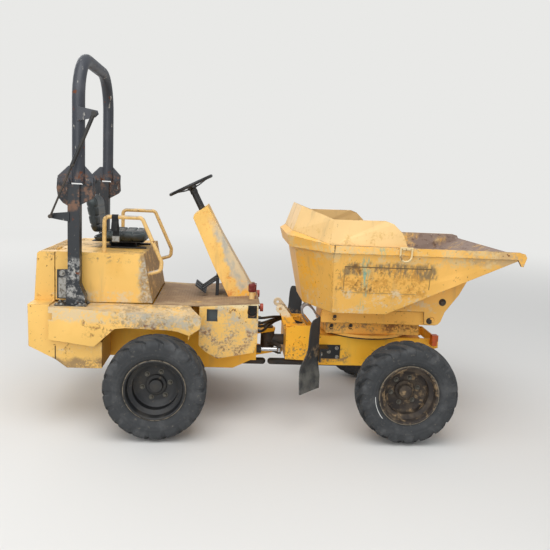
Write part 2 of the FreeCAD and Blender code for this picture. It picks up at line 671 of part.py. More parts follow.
# Engine cover: tapered box that hinges at its rear edge and carries the seat
COVER_REAR_X = ra(-784)
cover_outline = [
    (COVER_REAR_X, 932), (COVER_REAR_X, COVER_TOP_Z), (ra(-138), COVER_TOP_Z), (ra(-68), 927),
    (ra(-590), 921), (ra(-590), 932),
]
cover_inner = [
    (COVER_REAR_X - PLATE, 900), (COVER_REAR_X - PLATE, COVER_TOP_Z - PLATE), (ra(-144), COVER_TOP_Z - PLATE),
    (ra(-69), 900),
]
cover_block = prism_y(cover_outline, -BODY_HALF_W, BODY_HALF_W)
cover = cover_block.cut(prism_y(cover_inner, -BODY_HALF_W + PLATE, BODY_HALF_W - PLATE))
cover_pieces = [cover]
for hinge_y in HINGE_Y:
    leaf_y = (hinge_y + 1.0, hinge_y + HINGE_LENGTH - 1.0)
    sleeve = cross_rod(COVER_HINGE_X, COVER_HINGE_Z, leaf_y[0], leaf_y[1], 9.0)
    leaf = box(COVER_HINGE_X, ra(-750), leaf_y[0], leaf_y[1], COVER_TOP_Z, COVER_TOP_Z + 4.0)
    bore = cross_rod(COVER_HINGE_X, COVER_HINGE_Z, leaf_y[0] - 5, leaf_y[1] + 5, HINGE_PIN_R + FIT)
    cover_pieces.append(sleeve.fuse(leaf).cut(bore))
export("engine_cover", fuse(cover_pieces))

seat_frame = fuse([
    box(ra(-500), ra(-160), -170, 170, COVER_TOP_Z, COVER_TOP_Z + 14),
    box(ra(-430), ra(-240), -130, 130, COVER_TOP_Z + 14, COVER_TOP_Z + 52),
    box(ra(-580), ra(-180), -180, 180, COVER_TOP_Z + 50, COVER_TOP_Z + 58),
])
export("seat_frame", seat_frame)
SEAT_Z = COVER_TOP_Z + 58.0 + SEAT_GAP
cushion_outline = [
    (ra(-588), SEAT_Z), (ra(-588), 1400), (ra(-515), 1400), (ra(-470), 1432), (ra(-200), 1436),
    (ra(-152), 1415), (ra(-146), 1380), (ra(-170), SEAT_Z),
]
export("seat_cushion", prism_y(cushion_outline, -235, 235))
back_outline = [
    (ra(-585), 1400 + SEAT_GAP), (ra(-655), 1640), (ra(-650), 1700), (ra(-610), 1712), (ra(-555), 1690),
    (ra(-505), 1470), (ra(-522), 1400 + SEAT_GAP),
]
export("seat_back", prism_y(back_outline, -215, 215))


def handrail(side):
    """Tubular guard rail beside the seat."""
    y = side * (BODY_HALF_W - 50.0)
    points = [
        vec(ra(-437), y, COVER_TOP_Z), vec(ra(-437), y, 1563), vec(ra(-160), y, 1563),
        vec(ra(-10), y, 1235), vec(ra(-14), y, 1170), vec(ra(-112), y, 1140),
    ]
    return pipe(points, 34.0, 15.0).cut(cover_block)


export("handrails", [handrail(-1), handrail(1)])

# Articulation: knuckle on the kingpin with a trunnion lying along the vehicle
KNUCKLE_HALF_H = (FORK_TOP_Z - FORK_LOW_Z - 26.0) / 2.0 - 5.0
knuckle_block = Part.makeCylinder(58.0, 2.0 * KNUCKLE_HALF_H, vec(KINGPIN_X, 0, TRUNNION_Z - KNUCKLE_HALF_H))
trunnion = Part.makeCylinder(45.0, 290.0, vec(KINGPIN_X, 0, TRUNNION_Z), vec(1, 0, 0))
arm_outline = [
    (KINGPIN_X - 20, -40), (KINGPIN_X + 50, -140), (KINGPIN_X + 78, -190), (KINGPIN_X + 104, -186),
    (KINGPIN_X + 104, -150), (KINGPIN_X + 60, -30),
]
arm = prism_z(arm_outline, RAM_Z + 20, RAM_Z + 34)
arm_low = prism_z(arm_outline, RAM_Z - 34, RAM_Z - 20)
knuckle = fuse([knuckle_block, trunnion, arm, arm_low])
kingpin = Part.makeCylinder(KINGPIN_R, FORK_TOP_Z - FORK_LOW_Z + 46.0, vec(KINGPIN_X, 0, FORK_LOW_Z - 10.0))
kingpin_cap = Part.makeCylinder(44.0, 12.0, vec(KINGPIN_X, 0, FORK_TOP_Z + 27.0))
export("knuckle", fuse([knuckle, kingpin, kingpin_cap]))

# Steering ram, rear eye on the rear frame, rod eye between the knuckle's arm plates
RAM_BASE = vec(ra(470), -170, RAM_Z)
RAM_EYE = vec(KINGPIN_X + 90, -170, RAM_Z)
steer_barrel = fuse([
    rod(RAM_BASE + vec(20, 0, 0), RAM_BASE + vec(50, 0, 0), 15.0),
    rod(RAM_BASE + vec(44, 0, 0), RAM_BASE + vec(320, 0, 0), 32.0),
    Part.makeCylinder(28.0, 36.0, RAM_BASE - vec(0, 0, 18)),
])
steer_bore = rod(RAM_BASE + vec(85, 0, 0), RAM_BASE + vec(330, 0, 0), 17.5)
steer_pin = Part.makeCylinder(12.5, 80.0, RAM_BASE - vec(0, 0, 40))
export("steer_barrel", steer_barrel.cut(steer_bore).cut(steer_pin))
steer_rod = fuse([
    rod(RAM_BASE + vec(200, 0, 0), RAM_EYE - vec(18, 0, 0), 17.0),
    Part.makeCylinder(24.0, 30.0, RAM_EYE - vec(0, 0, 15)),
])
export("steer_rod", steer_rod.cut(Part.makeCylinder(12.5, 60.0, RAM_EYE - vec(0, 0, 30))))

# Front frame
FRAME_Y = 215.0
FRAME_TOP_Z = 648.0
EYE_PLATE_Y = 150.0
PLATE_REAR = 135.0
front_side = [
    (kp(PLATE_REAR), 440), (kp(PLATE_REAR), 700), (kp(212), 725), (kp(337), 725),
    (kp(402), FRAME_TOP_Z), (fa(-120), FRAME_TOP_Z), (fa(413), 644), (fa(413), 568), (fa(110), FRONT_PAD_Z),
    (fa(-120), FRONT_PAD_Z), (fa(-200), 400), (kp(352), 400), (kp(290), 434),
]
front_chassis = [prism_y(front_side, FRAME_Y, FRAME_Y + 14)]
front_chassis.append(prism_y(front_side, -FRAME_Y - 14, -FRAME_Y))
front_chassis.append(box(kp(PLATE_REAR), kp(149), -FRAME_Y, FRAME_Y, 440, 700))
front_chassis.append(box(kp(290), kp(304), -FRAME_Y, FRAME_Y, 434, 722))
# Lifting eye plates above the articulation
eye_plate = [
    (kp(PLATE_REAR), 440), (kp(PLATE_REAR), 640), (kp(88), 806), (kp(60), 868), (kp(112), 868), (kp(162), 808),
    (kp(226), 722), (kp(290), 722), (kp(290), 440),
]
for eye_y in (EYE_PLATE_Y, -EYE_PLATE_Y):
    plate = prism_y(eye_plate, eye_y - 7, eye_y + 7).fuse(cross_rod(kp(86), 843, eye_y - 7, eye_y + 7, 36.0))
    front_chassis.append(plate.cut(cross_rod(kp(86), 843, eye_y - 10, eye_y + 10, 12.0)))
housing = Part.makeCylinder(78.0, 169.0, vec(kp(PLATE_REAR), 0, TRUNNION_Z), vec(1, 0, 0))
front_chassis.append(housing)
front_chassis.append(box(fa(-560), fa(260), -FRAME_Y, FRAME_Y, FRAME_TOP_Z - 12, FRAME_TOP_Z))
front_chassis.append(box(fa(399), fa(413), -FRAME_Y, FRAME_Y, 568, 644))
trunnion_bore = Part.makeCylinder(46.0, 400.0, vec(kp(0), 0, TRUNNION_Z), vec(1, 0, 0))
export("front_chassis", fuse(front_chassis).cut(trunnion_bore))

export("front_axle", axle(FRONT_AXLE_X, FRONT_PAD_Z, 1))

slew_ring = Part.makeCylinder(SLEW_R - 40.0, SLEW_Z - SEAT_GAP - FRAME_TOP_Z, vec(SLEW_X, 0, FRAME_TOP_Z))
export("slew_ring", slew_ring.cut(Part.makeCylinder(SLEW_R - 120.0, 60.0, vec(SLEW_X, 0, 640))))

# Rubber flaps behind the front wheels, each hung askew from a stay and kicked back below
FLAP_THICK = 10.0
flap_upper = [(ra(1124), -780), (ra(1205), -600), (ra(1205 - FLAP_THICK), -600), (ra(1124 - FLAP_THICK), -780)]
flap_lower = [(ra(1052), -780), (ra(1205), -600), (ra(1205 - FLAP_THICK), -600), (ra(1052 - FLAP_THICK), -780)]
flap = prism_z(flap_upper, 600, 890).fuse(prism_z(flap_lower, 325, 626))
export("mud_flaps", both_sides(flap))
stay = fuse([
    box(ra(1202), ra(1322), -FRAME_Y - 160, -FRAME_Y - 14, 560, 572),
    box(ra(1281), ra(1436), -FRAME_Y - 20, -FRAME_Y - 14, 456, 572),
    box(ra(1205) + SEAT_GAP, ra(1216), -640, -FRAME_Y - 150, 540, 640),
])
export("flap_brackets", both_sides(stay))

lamps = []
for side in (-1, 1):
    arm_y = side * (FRAME_Y + 14)
    lamp = fuse([
        box(fa(340), fa(380), min(arm_y, arm_y + side * 70), max(arm_y, arm_y + side * 70), 600, 640),
        box(fa(335), fa(385), min(arm_y + side * 20, arm_y + side * 80), max(arm_y + side * 20, arm_y + side * 80),
            640, 690),
    ])
    lamps.append(lamp)
export("front_lamps", lamps)

# Turntable
BEARER_Y = 345.0
BEARER_TOP_Z = 905.0
turntable = [Part.makeCylinder(SLEW_R, 22.0, vec(SLEW_X, 0, SLEW_Z))]
for side in (-1, 1):
    inner = side * 170.0
    outer = side * 300.0
    turntable.append(box(fa(-544), fa(217), min(inner, outer), max(inner, outer), SLEW_Z + 20, 802))
    web_in = side * BEARER_Y
    web_out = side * (BEARER_Y + 65.0)
    turntable.append(box(fa(-604), fa(318), min(web_in, web_out), max(web_in, web_out), 800, BEARER_TOP_Z))
turntable.append(box(fa(-544), fa(-524), -300, 300, 688, 880))
turntable.append(box(fa(-544), fa(-524), -BEARER_Y - 20, BEARER_Y + 20, 805, 880))
turntable.append(box(fa(-300), fa(-270), -BEARER_Y - 20, -165, 790, 870))
turntable.append(box(fa(-300), fa(-270), 165, BEARER_Y + 20, 790, 870))
turntable.append(box(fa(190), fa(214), -300, 300, 688, 800))
turntable.append(box(fa(190), fa(214), -BEARER_Y - 20, BEARER_Y + 20, 790, 860))
for pad_x in (-560.0, -290.0):
    turntable.extend(pair(fa(pad_x), fa(pad_x + 60.0), BEARER_Y, BEARER_Y + 65.0, BEARER_TOP_Z, SKIP_FLOOR_Z - 0.5))
ram_ear = [(fa(-526), 688), (fa(-526), 766), (fa(-472), 766), (fa(-455), 750), (fa(-455), 688)]
for ear_y in (-42.0, 30.0):
    turntable.append(prism_y(ram_ear, ear_y, ear_y + 12))
turntable = fuse(turntable)
TIP_RAM_X = fa(-490)
TIP_RAM_Z = 735.0
turntable = [turntable, cross_rod(TIP_RAM_X, TIP_RAM_Z, -46, 46, 15.0 - FIT)]
for side in (-1, 1):
    inner = side * (BEARER_Y - 12)
    outer = side * (BEARER_Y + 100)
    turntable.append(cross_rod(TIP_X, TIP_Z, min(inner, outer), max(inner, outer), TIP_PIN_R))
export("turntable", fuse(turntable))

# Tip ram
EYE_X = fa(148)
EYE_Z = 1000.0
ram_foot = vec(TIP_RAM_X, 0, TIP_RAM_Z)
ram_eye = vec(EYE_X, 0, EYE_Z)
ram_dir = ram_eye - ram_foot
ram_dir.normalize()
tip_barrel = fuse([
    rod(ram_foot + ram_dir * 20.0, ram_foot + ram_dir * 56.0, 20.0),
    rod(ram_foot + ram_dir * 50.0, ram_foot + ram_dir * 560.0, 38.0),
    cross_rod(ram_foot.x, ram_foot.z, -24, 24, 32.0),
])
tip_barrel = tip_barrel.cut(cross_rod(ram_foot.x, ram_foot.z, -40, 40, 15.0))
tip_barrel = tip_barrel.cut(rod(ram_foot + ram_dir * 240.0, ram_foot + ram_dir * 570.0, 24.0))
export("tip_barrel", tip_barrel)
tip_rod = fuse([
    rod(ram_foot + ram_dir * 300.0, ram_eye - ram_dir * 22.0, 23.0),
    cross_rod(ram_eye.x, ram_eye.z, -22, 22, 30.0),
])
export("tip_rod", tip_rod.cut(cross_rod(ram_eye.x, ram_eye.z, -40, 40, 15.0)))

# Skip: corner points of the right half, then mirrored
SKIP_HEART = vec(fa(-180), 0, 1300)
BAND_OUT = 12.0
SIDE_Y = -SKIP_HALF_W
BAND_Y = -SKIP_HALF_W - BAND_OUT
FLOOR_REAR = (fa(-737), -230, SKIP_FLOOR_Z)
FLOOR_FOLD = (fa(-559), -630, SKIP_FLOOR_Z)
FLOOR_FRONT = (fa(-152), -630, SKIP_FLOOR_Z)
WALL_REAR = (fa(-827), -300, 1362)
WALL_FOLD = (fa(-600), SIDE_Y, RIM_Z - 53)
SIDE_FOLD_TOP = (fa(-610), SIDE_Y, RIM_Z)
ROOT_REAR = (fa(-824), -298, 1356)
ROOT_FOLD = (fa(-597), SIDE_Y + 4, RIM_Z - 58)
FLARE_REAR = (fa(-874), -346, 1385)
FLARE_FOLD = (fa(-612), BAND_Y, RIM_Z - 53)
BAND_REAR = (fa(-899), -352, 1476)
BAND_FOLD = (fa(-616), BAND_Y, RIM_Z + 5)
GUARD_REAR = (fa(-856), -338, 1508)
GUARD_FOLD = (fa(-622), -712, RIM_Z + 9)
GUARD_REAR_TOP = (fa(-791), -315, 1701)
GUARD_FOLD_TOP = (fa(-593), -690, 1628)
GUARD_LIFT = 0.4
GUARD_SIDE = [
    (fa(-607), -712, RIM_Z + 2 + GUARD_LIFT), (fa(-42), -722, RIM_Z + 2 + GUARD_LIFT), (fa(-86), -713, 1548),
    (fa(-155), -701, 1612), (fa(-214), -690, 1633), (fa(-593), -690, 1628), (fa(-622), -710, RIM_Z + 16),
]
LIP_LOW = (fa(848), SIDE_Y, 1402)
LIP_TOP = (fa(800), SIDE_Y, RIM_Z)


def flip(point):
    return (point[0], -point[1], point[2])


def side_panels(points, thickness=SKIP_WALL):
    """A panel on the right and its mirror image on the left."""
    right = panel(points, thickness, SKIP_HEART)
    return [right, mirrored(right)]


def across(low, high, thickness=SKIP_WALL):
    """A panel spanning the vehicle between two right-hand corner points."""
    return panel([low, high, flip(high), flip(low)], thickness, SKIP_HEART)


floor_outline = [
    (FLOOR_REAR[0], FLOOR_REAR[1]), (FLOOR_FOLD[0], FLOOR_FOLD[1]), (FLOOR_FRONT[0], FLOOR_FRONT[1]),
    (FLOOR_FRONT[0], -FLOOR_FRONT[1]), (FLOOR_FOLD[0], -FLOOR_FOLD[1]), (FLOOR_REAR[0], -FLOOR_REAR[1]),
]
skip = [prism_z(floor_outline, SKIP_FLOOR_Z, SKIP_FLOOR_Z + SKIP_WALL)]
skip.append(across(FLOOR_REAR, WALL_REAR))
skip.append(across(FLOOR_FRONT, LIP_LOW))
skip.extend(side_panels([FLOOR_REAR, FLOOR_FOLD, WALL_FOLD, WALL_REAR]))
skip.extend(side_panels([FLOOR_FOLD, FLOOR_FRONT, LIP_LOW, LIP_TOP, SIDE_FOLD_TOP]))
skip.append(across(ROOT_REAR, FLARE_REAR))
skip.append(across(FLARE_REAR, BAND_REAR))
skip.append(across(BAND_REAR, GUARD_REAR))
skip.extend(side_panels([ROOT_REAR, ROOT_FOLD, FLARE_FOLD, FLARE_REAR]))
skip.extend(side_panels([FLARE_REAR, FLARE_FOLD, BAND_FOLD, BAND_REAR]))
skip.extend(side_panels([BAND_REAR, BAND_FOLD, GUARD_FOLD, GUARD_REAR]))
skip.extend(pair(fa(-615), fa(798), BAND_Y, SIDE_Y + 4, RIM_Z - 53, RIM_Z + 2))
lip_end = [(fa(792), 1443), (fa(838), 1432), (fa(854), 1405), (fa(832), 1336), (fa(818), 1338), (fa(790), 1384)]
skip.append(prism_y(lip_end, BAND_Y, SIDE_Y + 8))
skip.append(prism_y(lip_end, -SIDE_Y - 8, -BAND_Y))
lip_bar = [(fa(800), 1382), (fa(848), 1404), (fa(856), 1404), (fa(856), 1392), (fa(806), 1370)]
skip.append(prism_y(lip_bar, SIDE_Y, -SIDE_Y))
export("skip_body", fuse(skip))


def slope_z(x):
    """Underside of the skip's sloping floor ahead of its flat floor."""
    rise = (LIP_LOW[2] - SKIP_FLOOR_Z) / (LIP_LOW[0] - FLOOR_FRONT[0])
    return SKIP_FLOOR_Z + (x - FLOOR_FRONT[0]) * rise


# Cradle: two arms below the slope that carry the tip pivot, and the ram's eye lugs
SLOPE_GAP = 0.4
TIE_BORE_R = 13.0
TIE_X = fa(349)
TIE_Z = 994.0
arm_outline = [
    (fa(-152), SKIP_FLOOR_Z - SEAT_GAP), (fa(-152), 912), (fa(206), 912), (fa(216), 812), (fa(323), 812),
    (fa(346), 838), (fa(372), 913), (fa(477), 1059), (fa(588), slope_z(fa(588)) - SLOPE_GAP),
]
ARM_Y = BEARER_Y + 80.0
cradle = []
for y0 in (ARM_Y, -ARM_Y - 12.0):
    arm = prism_y(arm_outline, y0, y0 + 12.0)
    arm = arm.cut(cross_rod(TIP_X, TIP_Z, y0 - 5, y0 + 20, TIP_PIN_R + 1.0))
    cradle.append(arm.cut(cross_rod(TIE_X, TIE_Z, y0 - 5, y0 + 20, TIE_BORE_R)))
eye_lug = [
    (fa(88), slope_z(fa(88)) - SLOPE_GAP), (fa(118), EYE_Z - 32.0), (fa(178), EYE_Z - 32.0),
    (fa(212), slope_z(fa(212)) - SLOPE_GAP),
]
for y0 in (-38.0, 28.0):
    lug = prism_y(eye_lug, y0, y0 + 10.0)
    cradle.append(lug.cut(cross_rod(EYE_X, EYE_Z, y0 - 5, y0 + 20, 15.0)))
export("skip_cradle", cradle)

guard_low = (GUARD_REAR[0], GUARD_REAR[1], GUARD_REAR[2] + GUARD_LIFT)
guard_turn = (GUARD_FOLD[0], GUARD_FOLD[1], GUARD_FOLD[2] + GUARD_LIFT)
guard = [panel([guard_low, GUARD_REAR_TOP, flip(GUARD_REAR_TOP), flip(guard_low)], 5.0, SKIP_HEART)]
guard.extend(side_panels([guard_low, guard_turn, GUARD_FOLD_TOP, GUARD_REAR_TOP], 5.0))
guard.extend(side_panels(GUARD_SIDE, 5.0))
export("spill_guard", fuse(guard))

rings = []
for side in (-1, 1):
    ring_y = side * (SKIP_HALF_W + BAND_OUT + 9.0)
    loop = grip_ring(vec(fa(-62), ring_y, 1392), vec(0, 1, 0), 38.0, 7.0)
    staple_y0 = side * (SKIP_HALF_W + BAND_OUT)
    staple_y1 = side * (SKIP_HALF_W + BAND_OUT + 20.0)
    staple = box(fa(-76), fa(-48), min(staple_y0, staple_y1), max(staple_y0, staple_y1), 1414, 1440)
    rings.append(fuse([loop, staple]))
export("lifting_rings", rings)
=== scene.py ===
"""Finishes and fine pieces for a worn site dumper, laid out as an add-on and run as a script.

Lengths are metres in the machine's own frame: +X toward the skip lip, +Z up, the ground at Z = 0.
"""
import math

import bmesh
import bpy
import numpy as np
from mathutils import Matrix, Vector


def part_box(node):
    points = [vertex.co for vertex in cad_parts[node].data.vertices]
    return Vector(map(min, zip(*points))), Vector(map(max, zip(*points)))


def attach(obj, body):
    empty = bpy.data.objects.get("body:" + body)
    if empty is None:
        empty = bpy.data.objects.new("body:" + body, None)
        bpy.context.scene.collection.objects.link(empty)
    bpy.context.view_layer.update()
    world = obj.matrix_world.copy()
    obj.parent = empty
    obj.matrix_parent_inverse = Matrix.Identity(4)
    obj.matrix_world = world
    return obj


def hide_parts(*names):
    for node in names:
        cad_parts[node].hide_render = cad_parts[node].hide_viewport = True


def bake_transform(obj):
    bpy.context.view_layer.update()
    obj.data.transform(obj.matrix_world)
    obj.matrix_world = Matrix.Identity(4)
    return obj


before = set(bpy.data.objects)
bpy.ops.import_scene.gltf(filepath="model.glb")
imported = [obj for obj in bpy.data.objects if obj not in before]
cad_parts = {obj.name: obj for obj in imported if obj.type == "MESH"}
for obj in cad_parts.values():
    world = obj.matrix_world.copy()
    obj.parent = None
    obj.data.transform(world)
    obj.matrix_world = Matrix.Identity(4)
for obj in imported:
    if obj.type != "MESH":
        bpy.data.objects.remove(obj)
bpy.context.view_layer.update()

bl_info = {
    "name": "Site dumper dressing",
    "version": (1, 0, 0),
    "blender": (4, 5, 0),
    "location": "View3D > Sidebar > Dumper",
    "description": "Paint, rubber, seat and fittings for an articulated site dumper",
    "category": "Object",
}


def middle(node):
    """Centre of a node's box at rest, as an array."""
    low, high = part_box(node)
    return (np.array(low) + np.array(high)) / 2.0


REAR_AXLE_X = middle("rim_rr")[0]
FRONT_AXLE_X = middle("rim_fr")[0]
AXLE_Z = middle("rim_rr")[2]
TYRE_R = AXLE_Z
WHEELS = {"rr": -1, "rl": 1, "fr": -1, "fl": 1}
SKIP_LOW, SKIP_HIGH = (np.array(corner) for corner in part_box("skip_body"))


def ax(station):
    """X of a station, given in millimetres forward of the rear axle."""
    return REAR_AXLE_X + station / 1000.0


def circle(count):
    """Angles of a whole turn, count of them, without the last that meets the first."""
    return np.linspace(0.0, 2.0 * np.pi, count, endpoint=False)


def linear(code, alpha=1.0):
    """An sRGB hex code as linear red, green, blue and alpha."""
    parts = [int(code[k:k + 2], 16) / 255.0 for k in (0, 2, 4)]
    return tuple(p / 12.92 if p <= 0.04045 else ((p + 0.055) / 1.055) ** 2.4 for p in parts) + (alpha,)


def shade(name, description, code):
    """One colour setting of the panel."""
    return bpy.props.FloatVectorProperty(name=name, description=description, subtype="COLOR", size=4,
                                         min=0.0, max=1.0, default=linear(code))


class DumperColours(bpy.types.PropertyGroup):
    """Paint and soil colours of the machine."""

    faded: shade("Faded yellow", "Sun-faded enamel of the bodywork", "E8B960")
    fresh: shade("Sheltered yellow", "Enamel that the sun hasn't reached", "FBB62A")
    cream: shade("Guard cream", "Bleached enamel of the spill guard", "E5BF80")
    charcoal: shade("Charcoal", "Roll hoop enamel", "34373E")
    rust: shade("Rust", "Dry rust on steel", "6B3A1E")
    soil: shade("Soil", "Dried earth and dust", "9A8262")
    rubber: shade("Rubber", "Tyre rubber under dust", "313335")


class DumperSizes(bpy.types.PropertyGroup):
    """Sizes of the fine forms."""

    front_lugs: bpy.props.IntProperty(
        name="Front lugs", description="Lugs on each side of a front tyre", default=18, min=8, max=40)
    rear_lugs: bpy.props.IntProperty(
        name="Rear lugs", description="Lugs on each side of a rear tyre", default=18, min=8, max=40)
    wear: bpy.props.FloatProperty(
        name="Rear tread wear", description="Tread worn off the rear tyres", default=0.012,
        min=0.0, max=0.02, unit="LENGTH")
    edge: bpy.props.FloatProperty(
        name="Edge radius", description="Rounding that the finish gives to a sheared steel edge", default=0.004,
        min=0.0, max=0.02, unit="LENGTH")


class Finish:
    """One procedural finish, laid up coat by coat on Object coordinates in metres."""

    def __init__(self, name, colour, rough, metallic=0.0, ior=1.5, edge=0.0):
        self.material = bpy.data.materials.new(name)
        self.material.use_nodes = True
        self.tree = self.material.node_tree
        self.shader = self.tree.nodes["Principled BSDF"]
        self.shader.inputs["Metallic"].default_value = metallic
        self.shader.inputs["IOR"].default_value = ior
        place = self.add("ShaderNodeTexCoord")
        self.place, self.normal = place.outputs["Object"], place.outputs["Normal"]
        self.colour, self.rough, self.edge = self.tone(colour), rough, edge
        self.height = None

    def add(self, kind, inputs=(), **settings):
        """Adds a node with its settings; inputs maps a socket to a value or to the output that feeds it."""
        node = self.tree.nodes.new(kind)
        for name, value in settings.items():
            setattr(node, name, value)
        for key, value in dict(inputs).items():
            if isinstance(value, bpy.types.NodeSocket):
                self.tree.links.new(value, node.inputs[key])
            else:
                node.inputs[key].default_value = value
        return node

    def tone(self, colour):
        """A colour given as an sRGB hex code or as linear values."""
        return linear(colour) if isinstance(colour, str) else colour

    def mottle(self, size, detail=3.0, stretch=(1.0, 1.0, 1.0), shift=0.0):
        """Cloudy pattern whose clouds are size metres across, longer along an axis with a larger stretch."""
        scale = [1.0 / s for s in stretch]
        moved = self.add("ShaderNodeMapping", {0: self.place, 1: (shift, shift * 0.7, shift * 1.3), 3: scale})
        return self.add("ShaderNodeTexNoise", {"Vector": moved.outputs[0], "Scale": 0.5 / size,
                                               "Detail": detail, "Roughness": 0.6}).outputs[0]

    def ramp(self, value, low, high):
        """Smooth step from 0 at low to 1 at high; low may be the larger."""
        return self.add("ShaderNodeMapRange", {0: value, 1: low, 2: high},
                        interpolation_type="SMOOTHSTEP").outputs[0]

    def cloud(self, size, detail, low, high, **more):
        """Mask of a mottle's clouds: 0 at the low level of the pattern and 1 at the high one."""
        return self.ramp(self.mottle(size, detail, **more), low, high)

    def both(self, first, second, operation="MULTIPLY"):
        """Two masks joined, by multiplying them or by another operation."""
        return self.add("ShaderNodeMath", {0: first, 1: second}, operation=operation, use_clamp=True).outputs[0]

    def axis(self, vector, name):
        """One part of a vector."""
        return self.add("ShaderNodeSeparateXYZ", {0: vector}).outputs[name]

    def within(self, low, high, soft=0.02, ragged=0.0):
        """Mask of a box from its corners, fading over soft metres, its edge broken up by ragged metres."""
        centre = [(a + b) / 2.0 for a, b in zip(low, high)]
        half = [(b - a) / 2.0 for a, b in zip(low, high)]
        away = self.add("ShaderNodeVectorMath", {0: self.place, 1: centre}, operation="SUBTRACT").outputs[0]
        away = self.add("ShaderNodeVectorMath", {0: away}, operation="ABSOLUTE").outputs[0]
        away = self.add("ShaderNodeVectorMath", {0: away, 1: half}, operation="SUBTRACT").outputs[0]
        parts = self.add("ShaderNodeSeparateXYZ", {0: away})
        out = self.add("ShaderNodeMath", {0: parts.outputs[0], 1: parts.outputs[1]}, operation="MAXIMUM").outputs[0]
        out = self.add("ShaderNodeMath", {0: out, 1: parts.outputs[2]}, operation="MAXIMUM").outputs[0]
        if ragged:
            drift = self.add("ShaderNodeMath", {0: self.mottle(ragged * 1.5, 4.0), 1: -0.5}, operation="ADD").outputs[0]
            out = self.add("ShaderNodeMath", {0: drift, 1: ragged * 4.0, 2: out},
                           operation="MULTIPLY_ADD").outputs[0]
        return self.ramp(out, soft, 0.0)

    def beside(self, point, outward, near, far):
        """Mask of what lies beyond a plane: 0 at near metres along its outward direction, 1 at far metres."""
        away = self.add("ShaderNodeVectorMath", {0: self.place, 1: point}, operation="SUBTRACT").outputs[0]
        along = self.add("ShaderNodeVectorMath", {0: away, 1: outward}, operation="DOT_PRODUCT").outputs["Value"]
        cloud = self.add("ShaderNodeMath", {0: self.mottle(0.04, 5.0), 1: 0.12, 2: along}, operation="MULTIPLY_ADD")
        return self.ramp(cloud.outputs[0], near + 0.06, far + 0.06)

    def worn(self, patches):
        """Broken coats inside boxes: low and high corner, colour, roughness, share and how far they run down.

        A share of 1 is a coat with a clean edge. Coarse clouds choose the spots, and fine ones fray them.
        """
        for low, high, tone, rough, amount, *runs in patches:
            if amount >= 1.0:
                self.coat(self.within(low, high, 0.004), tone, rough)
                continue
            stretch = (1.0, 1.0, runs[0] if runs else 1.0)
            area = self.within(low, high, 0.04, 0.03)
            fine = self.add("ShaderNodeMath", {0: self.mottle(0.009, 6.0, stretch, low[2]), 1: 0.45},
                            operation="MULTIPLY").outputs[0]
            both = self.add("ShaderNodeMath", {0: self.mottle(0.045, 5.0, stretch, low[0]), 1: 0.55, 2: fine},
                            operation="MULTIPLY_ADD").outputs[0]
            broken = self.ramp(both, 0.97 - amount, 1.09 - amount)
            self.coat(self.both(self.both(area, broken), 0.85), tone, rough)

    def facing_up(self, low=0.5, high=0.9):
        """Mask of faces that look up, where dust lies."""
        return self.ramp(self.axis(self.normal, "Z"), low, high)

    def worn_edges(self, spread=0.5, radius=0.006):
        """Mask of sharp edges: the normal rounded over the radius leaves the face's own there."""
        rounded = self.add("ShaderNodeBevel", {"Radius": radius}, samples=6).outputs[0]
        flat = self.add("ShaderNodeNewGeometry").outputs["True Normal"]
        along = self.add("ShaderNodeVectorMath", {0: rounded, 1: flat}, operation="DOT_PRODUCT").outputs["Value"]
        edge = self.ramp(along, 0.995, 0.8)
        broken = self.ramp(self.mottle(0.03, 5.0, shift=3.0), spread, spread + 0.12)
        return self.both(edge, broken)

    def coat(self, mask, colour, rough=None, lift=0.0):
        """Lays a colour and roughness over what is there, where the mask is 1; lift raises or sinks it in metres."""
        self.colour = self.add("ShaderNodeMix", {0: mask, 6: self.colour, 7: self.tone(colour)},
                               data_type="RGBA").outputs[2]
        if rough is not None:
            self.rough = self.add("ShaderNodeMix", {0: mask, 2: self.rough, 3: rough}, data_type="FLOAT").outputs[0]
        if lift:
            self.relief(mask, lift)

    def relief(self, mask, lift):
        """Adds a mask's shape to the surface relief, lift metres high."""
        below = 0.0 if self.height is None else self.height
        self.height = self.add("ShaderNodeMath", {0: mask, 1: lift, 2: below}, operation="MULTIPLY_ADD").outputs[0]

    def done(self):
        """Joins the coats to the shader and gives the material."""
        for name, value in (("Base Color", self.colour), ("Roughness", self.rough)):
            if isinstance(value, bpy.types.NodeSocket):
                self.tree.links.new(value, self.shader.inputs[name])
            else:
                self.shader.inputs[name].default_value = value
        normal = None
        if self.edge:
            normal = self.add("ShaderNodeBevel", {"Radius": self.edge}, samples=6).outputs[0]
        if self.height is not None:
            inputs = {"Height": self.height, "Distance": 1.0, "Strength": 1.0}
            if normal is not None:
                inputs["Normal"] = normal
            normal = self.add("ShaderNodeBump", inputs).outputs[0]
        if normal is not None:
            self.tree.links.new(normal, self.shader.inputs["Normal"])
        return self.material


